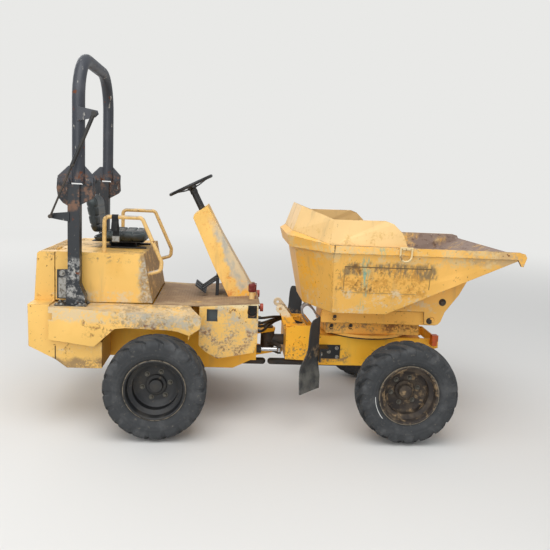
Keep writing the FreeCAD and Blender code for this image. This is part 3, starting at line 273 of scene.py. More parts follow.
def weathered_enamel(name, colour, chips=0.62, soil=0.5, patches=()):
    """Alkyd enamel on rolled steel: chalky, blotched by sun, chipped to rust along edges and where it is struck."""
    tones = bpy.context.scene.dumper_colours
    finish = Finish(name, colour, 0.5, edge=bpy.context.scene.dumper_sizes.edge)
    paler = tuple(min(1.0, c * 1.18 + 0.03) for c in finish.colour[:3]) + (1.0,)
    deeper = tuple(c * k for c, k in zip(finish.colour[:3], (0.92, 0.84, 0.6))) + (1.0,)
    finish.coat(finish.cloud(0.35, 3.0, 0.45, 0.75), paler, 0.62)
    finish.coat(finish.cloud(0.22, 4.0, 0.56, 0.78, shift=5.0), deeper, 0.42)
    streak = finish.mottle(0.05, 4.0, stretch=(1.0, 1.0, 6.0), shift=9.0)
    finish.coat(finish.both(finish.ramp(streak, 0.55, 0.8), 0.45), tones.soil, 0.7)
    finish.worn(patches)
    specks = finish.cloud(0.012, 4.0, chips + 0.02, chips + 0.06, shift=2.0)
    crowded = finish.cloud(0.3, 2.0, 0.45, 0.65, shift=7.0)
    finish.coat(finish.both(specks, crowded), tones.rust, 0.85, lift=-0.0006)
    finish.coat(finish.worn_edges(0.5), tones.rust, 0.85, lift=-0.0004)
    dust = finish.both(finish.facing_up(), finish.cloud(0.12, 5.0, 0.7 - soil * 0.5, 0.9, shift=4.0))
    finish.coat(dust, tones.soil, 0.9)
    finish.relief(finish.mottle(0.006, 2.0), 0.0002)
    return finish


# Finishes of one ground and a few broken coats: name, colour, roughness and further settings, then for each coat
# its cloud size, detail, shift, low and high level, colour and roughness; last the size and height of its grain.
PLAIN = [
    # Pressed steel rim whose paint has gone, in brown rust and dried mud.
    ("rusted_rim_steel", "2B2420", 0.7, {"edge": 0.002},
     [(0.05, 5.0, 0.0, 0.4, 0.7, "554A3E", 0.85), (0.03, 5.0, 2.0, 0.52, 0.7, "soil", 0.9)]),
    # Cast iron under old grease and mud.
    ("greasy_cast_iron", "2A2723", 0.5, {"edge": 0.003}, [(0.05, 5.0, 0.0, 0.4, 0.7, "4C4238", 0.8)], (0.01, 0.0006)),
    # Hard chrome plate on a ram's rod, with a light oil film.
    ("hard_chrome_plate", "C9C9CB", 0.18, {"metallic": 1.0}, [(0.03, 4.0, 0.0, 0.5, 0.8, "8E8A82", 0.35)]),
    # Black moulded polymer, greyed by dust.
    ("black_moulded_polymer", "1B1B1C", 0.45, {"edge": 0.002}, [(0.05, 4.0, 0.0, 0.45, 0.8, "34332F", 0.65)]),
    # Amber acrylic lamp lens, scratched dull.
    ("amber_acrylic", "C8571B", 0.35, {"ior": 1.49, "edge": 0.002}, [(0.02, 4.0, 0.0, 0.5, 0.8, "8D4A24", 0.6)]),
    # Rim flange edge, rubbed bright by the tyre's bead and caked with pale stone dust.
    ("dusted_flange_steel", "7C7262", 0.75, {}, [(0.02, 5.0, 0.0, 0.45, 0.65, "3A3630", 0.8)]),
    # Zinc plated fasteners, dulled: pale grey with a whitish bloom.
    ("dull_zinc_plate", "9C9A94", 0.5, {"metallic": 0.6}, [(0.01, 3.0, 0.0, 0.45, 0.7, "6B6358", 0.7)]),
    # The same zinc plate on the wheels, darker under mud.
    ("muddied_zinc_plate", "6C6A62", 0.5, {"metallic": 0.6}, [(0.01, 3.0, 0.0, 0.45, 0.7, "6B6358", 0.7)]),
    # Moulded EPDM bellows: matt black, its folds rubbed grey.
    ("moulded_epdm_rubber", "1A1A1C", 0.55, {}, [(0.03, 4.0, 0.0, 0.5, 0.8, "3C3D40", 0.7)]),
    # Forged rod under chalky cream enamel, rusted where it rubs in its staple.
    ("chalked_cream_enamel", "D8C08E", 0.6, {}, [(0.015, 4.0, 0.0, 0.55, 0.65, "7A5A36", 0.8)]),
    # Synthetic rubber hose cover: black with a wrapped finish, oily.
    ("wrapped_hose_rubber", "141416", 0.38, {}, [(0.03, 4.0, 0.0, 0.55, 0.8, "4A4844", 0.7)]),
    # Red enamel of the filler cap, oxidised to a chalky pink.
    ("oxidised_red_enamel", "6E1E1A", 0.5, {}, [(0.01, 4.0, 0.0, 0.5, 0.7, "8F5148", 0.75)]),
]


def plain_finish(tones, name, colour, rough, settings, coats, grain=None):
    """One row of the table as a material."""
    finish = Finish(name, colour, rough, **settings)
    for size, detail, shift, low, high, code, matt in coats:
        finish.coat(finish.cloud(size, detail, low, high, shift=shift), getattr(tones, code, code), matt)
    if grain:
        finish.relief(finish.mottle(grain[0], 3.0), grain[1])
    finish.done()


class DUMPER_OT_finishes(bpy.types.Operator):
    """Makes each finish and puts it on the machine's own nodes"""

    bl_idname = "dumper.finishes"
    bl_label = "Paint the machine"

    wears = {
        "faded_alkyd_enamel": "rear_cowl engine_cover counterweight",
        "greased_turntable_enamel": "turntable",
        "trodden_fender_enamel": "fenders",
        "scuffed_tank_enamel": "side_tanks",
        "rubbed_console_enamel": "console",
        "handled_rail_enamel": "handrails",
        "faded_skip_enamel": "skip_body skip_cradle",
        "sheltered_alkyd_enamel": "rear_chassis front_chassis",
        "bleached_guard_enamel": "spill_guard",
        "charcoal_enamel": "rops_hoop rops_posts",
        "black_machine_enamel": "steering_column controls flap_brackets steer_barrel tip_barrel strut_barrel "
                                "rim_rr rim_rl",
        "rusted_rim_steel": "rim_fr rim_fl lifting_rings",
        "greasy_cast_iron": "rear_axle front_axle knuckle slew_ring engine_block strut_rod",
        "hard_chrome_plate": "steer_rod tip_rod",
        "trodden_chequer_plate": "deck",
        "black_moulded_polymer": "seat_frame seat_cushion seat_back steering_wheel",
        "dusty_tyre_rubber": "tyre_rr tyre_rl tyre_fr tyre_fl mud_flaps",
        "amber_acrylic": "front_lamps",
    }

    def execute(self, context):
        tones = context.scene.dumper_colours
        grey, cream, brown = "B4AE9E", "D6C09A", "8A7153"
        teal, rusted, dark = "6FAE9C", "7A4A28", "3A2E22"
        body_patches = [
            # Broken brown over the engine cover's front face, which looks away from the light: painted shade, mottled
            # like soil.
            ((-1.02, -0.50, 0.92), (-0.93, 0.50, 1.28), brown, 0.75, 0.60),
            ((-1.03, -0.50, 0.93), (-0.95, -0.485, 1.24), grey, 0.7, 0.50),
            ((-1.68, -0.50, 0.92), (-1.00, -0.485, 0.99), cream, 0.7, 0.50),
            ((-1.80, -0.68, 0.45), (-1.28, -0.64, 0.51), brown, 0.8, 0.56),
            ((-1.66, -0.68, 0.50), (-1.26, -0.64, 0.64), rusted, 0.8, 0.44),
            ((-1.62, -0.68, 0.60), (-1.30, -0.64, 0.92), cream, 0.7, 0.46),
            ((-1.6275, -0.68, 0.45), (-1.6235, -0.64, 0.62), dark, 0.9, 1.0),
            ((-1.82, -0.50, 1.25), (-1.00, 0.50, 1.32), brown, 0.8, 0.46),
        ]
        fender_patches = [
            ((-1.72, -0.72, 0.84), (-0.55, 0.72, 0.93), cream, 0.75, 0.56),
            ((-1.20, -0.72, 0.80), (-0.55, 0.72, 0.93), "A08A68", 0.8, 0.50),
            ((-1.08, -0.72, 0.78), (-0.62, -0.69, 0.91), grey, 0.7, 0.52),
            ((-1.40, -0.72, 0.73), (-1.18, -0.69, 0.80), rusted, 0.8, 0.46),
            ((-1.08, -0.72, 0.73), (-0.86, -0.69, 0.80), rusted, 0.8, 0.50),
        ]
        tank_patches = [
            ((-0.60, -0.51, 0.50), (-0.13, 0.51, 0.95), "C9AD7E", 0.72, 0.52),
            ((-0.60, -0.51, 0.66), (-0.13, -0.48, 0.95), grey, 0.7, 0.46),
            ((-0.60, -0.51, 0.50), (-0.13, -0.48, 0.72), rusted, 0.8, 0.46),
            ((-0.45, -0.51, 0.50), (-0.13, -0.48, 0.62), dark, 0.8, 0.42),
            ((-0.60, -0.51, 0.935), (-0.13, 0.51, 0.95), "E4D2A6", 0.7, 0.7),
            ((-0.221, -0.51, 0.835), (-0.156, -0.46, 0.931), "15130F", 0.7, 1.0),
            ((-0.221, 0.46, 0.835), (-0.156, 0.51, 0.931), "15130F", 0.7, 1.0),
            # The window on each side, laid a flat pale blue-grey: a painted reflection of the sky.
            ((-0.545, -0.488, 0.785), (-0.445, -0.40, 0.905), "5C6466", 0.6, 1.0),
            ((-0.545, 0.40, 0.785), (-0.445, 0.488, 0.905), "6F7D82", 0.6, 1.0),
        ]
        skip_patches = [
            ((0.47, -0.78, 1.09), (1.08, -0.66, 1.285), "C98F38", 0.6, 0.52),
            ((0.47, -0.78, 1.235), (1.13, -0.66, 1.300), "77694F", 0.75, 0.54, 3.0),
            ((0.40, -0.78, 1.10), (0.80, -0.66, 1.28), "6B4A24", 0.75, 0.47, 1.6),
            ((0.80, -0.78, 1.09), (1.10, -0.66, 1.25), "6B4A24", 0.75, 0.42, 2.0),
            ((0.625, -0.78, 0.96), (0.650, -0.66, 1.42), teal, 0.55, 0.50, 5.0),
            ((0.70, -0.78, 1.12), (0.725, -0.66, 1.42), teal, 0.55, 0.48, 5.0),
            # Thin darker lines along the recess's sides and foot: painted shade of its step.
            ((0.4665, -0.78, 1.09), (0.4695, -0.66, 1.288), "94723C", 0.7, 1.0),
            ((1.112, -0.78, 1.13), (1.115, -0.66, 1.288), "94723C", 0.7, 1.0),
            ((0.4665, -0.78, 1.088), (1.02, -0.66, 1.091), "B08A4A", 0.7, 1.0),
            ((0.374, -0.78, 1.355), (0.379, -0.66, 1.50), dark, 0.8, 1.0),
            ((0.06, -0.70, 1.05), (0.28, -0.30, 1.34), "F5B02A", 0.5, 0.50),
            ((0.15, -0.78, 0.92), (1.30, -0.30, 1.10), cream, 0.7, 0.47),
            # A thin dark line under the recess's top ridge: a painted shadow line.
            ((0.4665, -0.78, 1.286), (1.115, -0.66, 1.290), "6A5434", 0.8, 1.0),
            ((1.35, -0.76, 1.36), (1.83, 0.76, 1.52), "C0A276", 0.75, 0.55),
            ((0.06, -0.76, 1.34), (1.60, 0.76, 1.47), "D9BC86", 0.7, 0.50),
        ]
        eye_patches = [((0.00, -0.17, 0.80), (0.12, 0.17, 0.89), "E6DCC0", 0.6, 0.62),
                       ((0.10, -0.24, 0.44), (0.60, 0.24, 0.52), brown, 0.8, 0.5),
                       ((0.10, -0.16, 0.70), (0.32, 0.16, 0.80), brown, 0.8, 0.5)]
        guard_patches = [((0.10, -0.73, 1.44), (0.93, 0.73, 1.53), "D2A860", 0.6, 0.46)]
        table_patches = [((0.88, -0.80, 0.73), (1.18, 0.80, 0.785), rusted, 0.8, 0.52),
                         ((0.10, -0.80, 0.72), (0.90, 0.80, 0.765), brown, 0.8, 0.50)]
        skip = weathered_enamel("faded_skip_enamel", "E9B254", patches=skip_patches)
        self.scoured_inside(skip)
        for row in PLAIN:
            plain_finish(tones, *row)
        for finish in (
                weathered_enamel("faded_alkyd_enamel", tones.faded, patches=body_patches),
                weathered_enamel("trodden_fender_enamel", tones.faded, soil=0.7, patches=fender_patches),
                weathered_enamel("scuffed_tank_enamel", tones.faded, chips=0.58, patches=tank_patches),
                weathered_enamel("sheltered_alkyd_enamel", tones.fresh, chips=0.6, patches=eye_patches),
                weathered_enamel("bleached_guard_enamel", tones.cream, chips=0.64, soil=0.3, patches=guard_patches),
                weathered_enamel("greased_turntable_enamel", "F0B24C", chips=0.6, patches=table_patches),
                self.console_enamel(tones, cream, grey), self.rail_enamel(tones), self.hoop_enamel(tones),
                self.black_enamel(), self.deck_plate(tones), self.tyre_rubber(tones), skip):
            finish.done()
        for name, nodes in self.wears.items():
            for node in nodes.split():
                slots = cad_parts[node].data.materials
                slots.clear()
                slots.append(bpy.data.materials[name])
        return {"FINISHED"}

    def console_enamel(self, tones, cream, grey):
        """Console enamel: rubbed to a chalky grey-cream along its front by boots."""
        finish = weathered_enamel("rubbed_console_enamel", tones.faded, patches=[
            ((-0.45, -0.18, 0.93), (-0.14, -0.16, 1.16), "E08A3A", 0.6, 0.47),
            ((-0.66, -0.18, 1.10), (-0.30, -0.16, 1.60), "E0A04A", 0.6, 0.45)])
        front = finish.beside((-0.36, -0.17, 1.30), (0.90, 0.0, 0.43), -0.085, -0.045)
        low = finish.ramp(finish.axis(finish.place, "Z"), 1.62, 1.40)
        finish.coat(finish.both(front, low), cream, 0.75)
        rubbed = finish.both(front, finish.cloud(0.05, 6.0, 0.45, 0.6, stretch=(1, 1, 2)))
        finish.coat(finish.both(rubbed, low), grey, 0.8)
        finish.worn([((-0.30, -0.18, 0.93), (-0.17, -0.16, 1.05), tones.fresh, 0.5, 0.52)])
        return finish

    def rail_enamel(self, tones):
        """Enamel on tube, polished off by hands on top to grey primer."""
        finish = Finish("handled_rail_enamel", "DDB673", 0.5, edge=0.003)
        finish.coat(finish.cloud(0.05, 4.0, 0.5, 0.7), "C79F58", 0.6)
        top = finish.both(finish.facing_up(0.2, 0.8), finish.cloud(0.03, 5.0, 0.42, 0.55))
        finish.coat(top, "A9A298", 0.6)
        finish.coat(finish.cloud(0.012, 4.0, 0.62, 0.68, shift=2.0), tones.rust, 0.85)
        return finish

    def scoured_inside(self, finish):
        """Bare steel inside the skip, scoured by stone and rusted: the faces that look toward its middle."""
        heart = ((SKIP_LOW + SKIP_HIGH) / 2.0 + np.array([0.0, 0.0, 0.12])).tolist()
        inward = finish.add("ShaderNodeVectorMath", {0: heart, 1: finish.place}, operation="SUBTRACT").outputs[0]
        facing = finish.add("ShaderNodeVectorMath", {0: inward, 1: finish.normal}, operation="DOT_PRODUCT")
        inside = finish.ramp(facing.outputs["Value"], 0.0, 0.02)
        left = finish.cloud(0.10, 8.0, 0.66, 0.52, shift=1.0)
        finish.coat(finish.both(inside, left), "907C70", 0.8)
        finish.coat(finish.both(inside, finish.cloud(0.02, 8.0, 0.5, 0.7)), "6E5546", 0.85)
        finish.coat(finish.both(inside, finish.cloud(0.012, 6.0, 0.6, 0.75, shift=3.0)),
                    "B9AAA0", 0.85)
        low, high = (0.78, 0.55, 1.26), (1.15, 0.76, 1.43)
        scab = finish.both(finish.within(low, high, 0.04, 0.04), finish.cloud(0.03, 7.0, 0.4, 0.56, shift=8.0))
        finish.coat(finish.both(inside, scab), "B0683A", 0.8)

    def hoop_enamel(self, tones):
        """Satin charcoal enamel on tube: chalky bare patches where it rubs, rust at the hinge."""
        finish = Finish("charcoal_enamel", tones.charcoal, 0.45, edge=0.003)
        finish.coat(finish.cloud(0.12, 4.0, 0.5, 0.75), "4A4B50", 0.6)
        # The posts, up to 1.8 m, laid a darker charcoal than the hoop: painted shade.
        finish.coat(finish.within((-1.80, -0.80, 0.80), (-1.20, 0.80, 1.80)), "1D2126", 0.5)
        finish.coat(finish.cloud(0.018, 5.0, 0.64, 0.68, stretch=(1, 1, 3)), "A7A49C", 0.7)
        finish.worn([((-1.56, -0.63, 1.00), (-1.45, -0.60, 1.24), "A9A8A4", 0.7, 0.52),
                     ((-1.50, -0.63, 0.93), (-1.42, -0.58, 1.02), "A9A8A4", 0.7, 0.48),
                     ((-1.63, -0.64, 1.64), (-1.38, -0.56, 1.84), "7C5C48", 0.8, 0.50),
                     ((-1.63, 0.56, 1.64), (-1.38, 0.64, 1.84), "7C5C48", 0.8, 0.48)])
        finish.coat(finish.cloud(0.03, 5.0, 0.63, 0.68, shift=6.0), tones.rust, 0.85, lift=-0.0004)
        return finish

    def black_enamel(self):
        """Black machinery enamel under road dust."""
        finish = Finish("black_machine_enamel", "1C1D1F", 0.45, edge=0.002)
        finish.coat(finish.cloud(0.06, 5.0, 0.45, 0.75), "3D3A35", 0.75)
        finish.coat(finish.cloud(0.02, 5.0, 0.62, 0.74, shift=3.0), "5F564A", 0.85)
        finish.worn([((-0.1225, -0.34, 0.84), (-0.09, 0.34, 0.92), "A8432C", 0.45, 1.0)])
        return finish

    def deck_plate(self, tones):
        """Chequered floor plate, raised lozenges 31 mm apart, its paint trodden off and filled with dried earth."""
        finish = Finish("trodden_chequer_plate", "8C7154", 0.8, edge=0.003)
        finish.coat(finish.cloud(0.09, 5.0, 0.45, 0.75), "B79C76", 0.85)
        finish.coat(finish.cloud(0.06, 5.0, 0.55, 0.75, shift=3.0), "6A5038", 0.8)
        finish.coat(finish.cloud(0.15, 5.0, 0.6, 0.75, shift=8.0), tones.faded, 0.6)
        turned = finish.add("ShaderNodeMapping", {0: finish.place, 2: (0.0, 0.0, math.pi / 4.0), 3: (32.0, 32.0, 0.0)})
        cell = finish.add("ShaderNodeVectorMath", {0: turned.outputs[0]}, operation="FRACTION").outputs[0]
        cell = finish.add("ShaderNodeVectorMath", {0: cell, 1: (0.5, 0.5, 0.0)}, operation="SUBTRACT").outputs[0]
        parts = finish.add("ShaderNodeSeparateXYZ", {0: cell}).outputs
        swapped = finish.add("ShaderNodeCombineXYZ", {0: parts[1], 1: parts[0]}).outputs[0]
        which = finish.add("ShaderNodeTexChecker", {"Vector": turned.outputs[0], "Scale": 1.0}).outputs["Fac"]
        laid = finish.add("ShaderNodeMix", {0: which, 4: cell, 5: swapped}, data_type="VECTOR").outputs[1]
        oval = finish.add("ShaderNodeVectorMath", {0: laid, 1: (2.3, 7.0, 0.0)}, operation="MULTIPLY").outputs[0]
        away = finish.add("ShaderNodeVectorMath", {0: oval}, operation="LENGTH").outputs["Value"]
        lozenge = finish.ramp(away, 1.0, 0.7)
        finish.coat(finish.both(lozenge, finish.cloud(0.1, 3.0, 0.35, 0.6, shift=6.0)),
                    "A38E72", 0.6, lift=0.0014)
        return finish

    def tyre_rubber(self, tones):
        """Natural and synthetic rubber tread compound, greyed by stone dust, with a thin near-white arc on one front
        tyre's flank.
        """
        finish = Finish("dusty_tyre_rubber", tones.rubber, 0.75)
        finish.coat(finish.cloud(0.05, 5.0, 0.45, 0.75), "4C4D4E", 0.85)
        finish.coat(finish.cloud(0.012, 4.0, 0.6, 0.75, shift=2.0), "5E5B55", 0.9)
        centre = (FRONT_AXLE_X, 0.0, AXLE_Z)
        flat = finish.add("ShaderNodeVectorMath", {0: finish.place, 1: (1.0, 0.0, 1.0)},
                          operation="MULTIPLY").outputs[0]
        reach = finish.add("ShaderNodeVectorMath", {0: flat, 1: centre}, operation="DISTANCE").outputs["Value"]
        # A thin near-white arc, 252 to 258 mm from the front axle, behind and below it on the near tyre's flank.
        pale_arc = finish.both(finish.ramp(reach, 0.2515, 0.2530), finish.ramp(reach, 0.2575, 0.2560))
        low, high = (FRONT_AXLE_X - 0.27, -1.0, 0.215), (FRONT_AXLE_X - 0.18, -0.85, 0.372)
        finish.coat(finish.both(pale_arc, finish.within(low, high, 0.004)), "D8D8D4", 0.8)
        finish.relief(finish.mottle(0.004, 2.0), 0.0004)
        return finish


class Stock:
    """Points and faces gathered before they become one piece."""

    def __init__(self):
        self.points, self.faces, self.count = [], [], 0

    def add(self, points, faces):
        """Takes in more points with faces that number them from 0."""
        points = np.asarray(points, float).reshape(-1, 3)
        self.faces.extend([[int(k) + self.count for k in face] for face in faces])
        self.points.append(points)
        self.count += len(points)

    def grid(self, points, wrap_rows=False, wrap_columns=False):
        """A surface through a rows by columns by 3 array: a quad between each four neighbours."""
        rows, columns = points.shape[:2]
        row = np.arange(rows if wrap_rows else rows - 1)
        column = np.arange(columns if wrap_columns else columns - 1)
        row, column = np.meshgrid(row, column, indexing="ij")
        below, beside = (row + 1) % rows, (column + 1) % columns
        quads = np.stack([row * columns + column, row * columns + beside,
                          below * columns + beside, below * columns + column], axis=-1)
        self.add(points, quads.reshape(-1, 4).tolist())

    def turned(self, profile, centre, side=1.0, count=96, closed=True):
        """A (radius, width) profile carried round a cross axis through the centre."""
        profile = np.asarray(profile, float)
        turn = circle(count)[:, None]
        points = np.stack([centre[0] + profile[:, 0] * np.cos(turn),
                           centre[1] + side * profile[:, 1] + 0.0 * turn,
                           centre[2] + profile[:, 0] * np.sin(turn)], axis=-1)
        self.grid(points, wrap_rows=True, wrap_columns=closed)

    def spun(self, profile, centre, axis, count=32):
        """A (radius, height) profile carried round any axis through the centre."""
        axis = np.asarray(axis, float) / np.linalg.norm(axis)
        first = np.cross(axis, [0.0, 1.0, 0.0] if abs(axis[1]) < 0.9 else [1.0, 0.0, 0.0])
        first /= np.linalg.norm(first)
        second = np.cross(axis, first)
        profile = np.asarray(profile, float)
        turn = circle(count)[:, None, None]
        out = first * np.cos(turn) + second * np.sin(turn)
        self.grid(np.asarray(centre) + out * profile[:, 0, None] + axis * profile[:, 1, None], wrap_rows=True)

    def plate(self, front, back):
        """A wall between two grids of the same size, closed all round."""
        rows, columns = front.shape[:2]
        start = self.count
        self.grid(np.concatenate([front, back[:, ::-1]], axis=1), wrap_columns=True)
        for row in (0, rows - 1):
            base = start + row * 2 * columns
            self.faces.extend([[base + k, base + k + 1, base + 2 * columns - 2 - k, base + 2 * columns - 1 - k]
                               for k in range(columns - 1)])

    def band(self, path, across, width, thick):
        """A flat strip along a path: its section is a rectangle, wide across and thin square to both."""
        path = np.asarray(path, float)
        along = np.gradient(path, axis=0)
        across = np.broadcast_to(np.asarray(across, float), path.shape)
        out = np.cross(along, across)
        out /= np.linalg.norm(out, axis=1)[:, None]
        half = np.broadcast_to(np.asarray(width, float) / 2.0, (len(path),))[:, None]
        corners = [path + a * across * half + b * out * thick / 2.0 for a, b in ((-1, -1), (1, -1), (1, 1), (-1, 1))]
        start = self.count
        self.grid(np.stack(corners, axis=1), wrap_columns=True)
        self.faces.append([start + k for k in range(4)])
        self.faces.append([self.count - 1 - k for k in range(4)])

    def tube(self, path, radius, count=16):
        """A round section carried along a path, square to it, with capped ends."""
        path = np.asarray(path, float)
        along = np.gradient(path, axis=0)
        along /= np.linalg.norm(along, axis=1)[:, None]
        helper = np.array([0.0, 0.0, 1.0]) if abs(along[:, 2]).max() < 0.95 else np.array([0.0, 1.0, 0.0])
        if abs(along @ helper).max() > 0.99:
            helper = np.array([1.0, 0.0, 0.0])
        first = np.cross(along, helper)
        first /= np.linalg.norm(first, axis=1)[:, None]
        second = np.cross(along, first)
        turn = circle(count)
        radius = np.broadcast_to(np.asarray(radius, float), (len(path),))
        ring = first[:, None] * np.cos(turn)[:, None] + second[:, None] * np.sin(turn)[:, None]
        points = path[:, None] + ring * radius[:, None, None]
        self.grid(points, wrap_columns=True)
        start = self.count - len(path) * count
        self.faces.append([start + k for k in range(count)])
        self.faces.append([self.count - count + k for k in reversed(range(count))])

    def hull(self, points):
        """The smallest convex body round the points."""
        body = bmesh.new()
        for point in points:
            body.verts.new(tuple(float(v) for v in point))
        found = bmesh.ops.convex_hull(body, input=body.verts)
        spare = [v for v in found["geom_unused"] + found["geom_interior"] if isinstance(v, bmesh.types.BMVert)]
        bmesh.ops.delete(body, geom=list(set(spare)), context="VERTS")
        body.verts.index_update()
        self.add([v.co[:] for v in body.verts], [[v.index for v in f.verts] for f in body.faces])
        body.free()

    def block(self, low, high, chamfer=0.002):
        """A block between two corners, each edge cut off by the chamfer."""
        low, high = np.asarray(low, float), np.asarray(high, float)
        corners = np.array([[i, j, k] for i in (0, 1) for j in (0, 1) for k in (0, 1)], float)
        base = low + corners * (high - low)
        inward = chamfer * (1.0 - 2.0 * corners)
        points = [base + inward * (1.0 - np.eye(3)[axis]) for axis in range(3)]
        self.hull(np.concatenate(points))

    def make(self, name, material, body, smooth=30.0):
        """The gathered faces as one object that rides on a body, smooth where they meet below an angle."""
        mesh = bpy.data.meshes.new(name)
        mesh.from_pydata(np.concatenate(self.points).tolist(), [], self.faces)
        mesh.update()
        turn = bmesh.new()
        turn.from_mesh(mesh)
        bmesh.ops.remove_doubles(turn, verts=turn.verts, dist=1e-6)
        bmesh.ops.recalc_face_normals(turn, faces=turn.faces)
        turn.to_mesh(mesh)
        turn.free()
        mesh.materials.append(bpy.data.materials[material])
        piece = bpy.data.objects.new(name, mesh)
        bpy.context.scene.collection.objects.link(piece)
        if smooth:
            mesh.shade_smooth()
            mesh.set_sharp_from_angle(angle=math.radians(smooth))
        if body:
            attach(piece, body)
        return piece


def smooth_line(points, count):
    """Points along a Catmull-Rom curve through the given ones, evenly spread over its spans."""
    points = np.asarray(points, float)
    ends = np.concatenate([[2 * points[0] - points[1]], points, [2 * points[-1] - points[-2]]])
    where = np.linspace(0.0, len(points) - 1.0, count)
    span = np.minimum(where.astype(int), len(points) - 2)
    t = (where - span)[:, None]
    a, b, c, d = (ends[span + k] for k in range(4))
    return 0.5 * (2 * b + (c - a) * t + (2 * a - 5 * b + 4 * c - d) * t ** 2 + (3 * b - 3 * c + d - a) * t ** 3)


class DUMPER_OT_tyres(bpy.types.Operator):
    """Lugged tyres: a carcass and a lug-top section, with the lug pattern choosing between them"""

    bl_idname = "dumper.tyres"
    bl_label = "Tyres"

    carcass = [(0.208, 0.082), (0.222, 0.092), (0.250, 0.119), (0.290, 0.128), (0.325, 0.125), (0.344, 0.112),
               (0.351, 0.085), (0.353, 0.045), (0.354, 0.0)]
    lug_top = [(0.208, 0.082), (0.222, 0.092), (0.250, 0.120), (0.292, 0.130), (0.330, 0.131), (0.352, 0.121),
               (0.366, 0.094), (0.376, 0.050), (0.380, 0.0)]
    around = 560
    across = 118

    def section(self, points, worn=0.0):
        """A whole section from half of one, evenly spread, its crown lowered by the wear."""
        half = np.array(points)
        limit = TYRE_R - worn
        half[:, 0] = np.minimum(half[:, 0], limit - 0.3 * (half[:, 1] / 0.12) ** 2 * 0.01)
        whole = np.concatenate([half * [1, -1], half[-2::-1]])
        return smooth_line(whole, self.across)

    def execute(self, context):
        sizes = context.scene.dumper_sizes
        for corner, side in WHEELS.items():
            front = corner[0] == "f"
            count = sizes.front_lugs if front else sizes.rear_lugs
            worn = 0.0 if front else sizes.wear
            centre = middle("rim_" + corner)
            low, top = self.section(self.carcass), self.section(self.lug_top, worn)
            turn = circle(self.around)[:, None]
            width = low[:, 1][None, :]
            mask = self.lug_mask(turn, width, low[:, 0][None, :], count, front)
            radius = low[:, 0] + mask * (top[:, 0] - low[:, 0])
            offset = low[:, 1] + mask * (top[:, 1] - low[:, 1])
            ribs = sum(0.0022 * np.exp(-((radius - rib) / 0.0045) ** 2) for rib in (0.238, 0.262, 0.288))
            offset = offset + np.sign(offset) * ribs * (np.abs(low[:, 1]) > 0.08)
            points = np.stack([centre[0] + radius * np.cos(turn),
                               centre[1] + side * offset,
                               centre[2] + radius * np.sin(turn)], axis=-1)
            stock = Stock()
            stock.grid(points, wrap_rows=True, wrap_columns=True)
            piece = stock.make("tread_" + corner, "dusty_tyre_rubber", "wheel_" + corner, smooth=40.0)
            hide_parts("tyre_" + corner)
        return {"FINISHED"}

    def lug_mask(self, turn, width, radius, count, front):
        """1 on a lug and 0 between: bars that run back from the crown at 45 degrees, staggered left and right."""
        pitch = 2.0 * np.pi / count
        half_bar = 0.021 if front else 0.030
        flank = 0.006
        mask = np.zeros(np.broadcast(turn, width).shape)
        for hand in (-1.0, 1.0):
            reach = hand * width
            back = np.clip(reach, -0.02, 0.11) / TYRE_R * 1.05
            phase = (turn + back) / pitch + (0.5 if hand > 0 else 0.0)
            gap = np.abs(phase - np.round(phase)) * pitch * TYRE_R * 0.72
            grow = half_bar + 0.006 * np.clip(reach / 0.12, 0.0, 1.0)
            bar = np.clip((grow - gap) / flank + 0.5, 0.0, 1.0)
            start = np.clip((reach + 0.012) / 0.006, 0.0, 1.0)
            low_end = np.clip((radius - 0.288) / 0.03, 0.0, 1.0)
            mask = np.maximum(mask, bar * start * low_end)
        return mask * mask * (3.0 - 2.0 * mask)


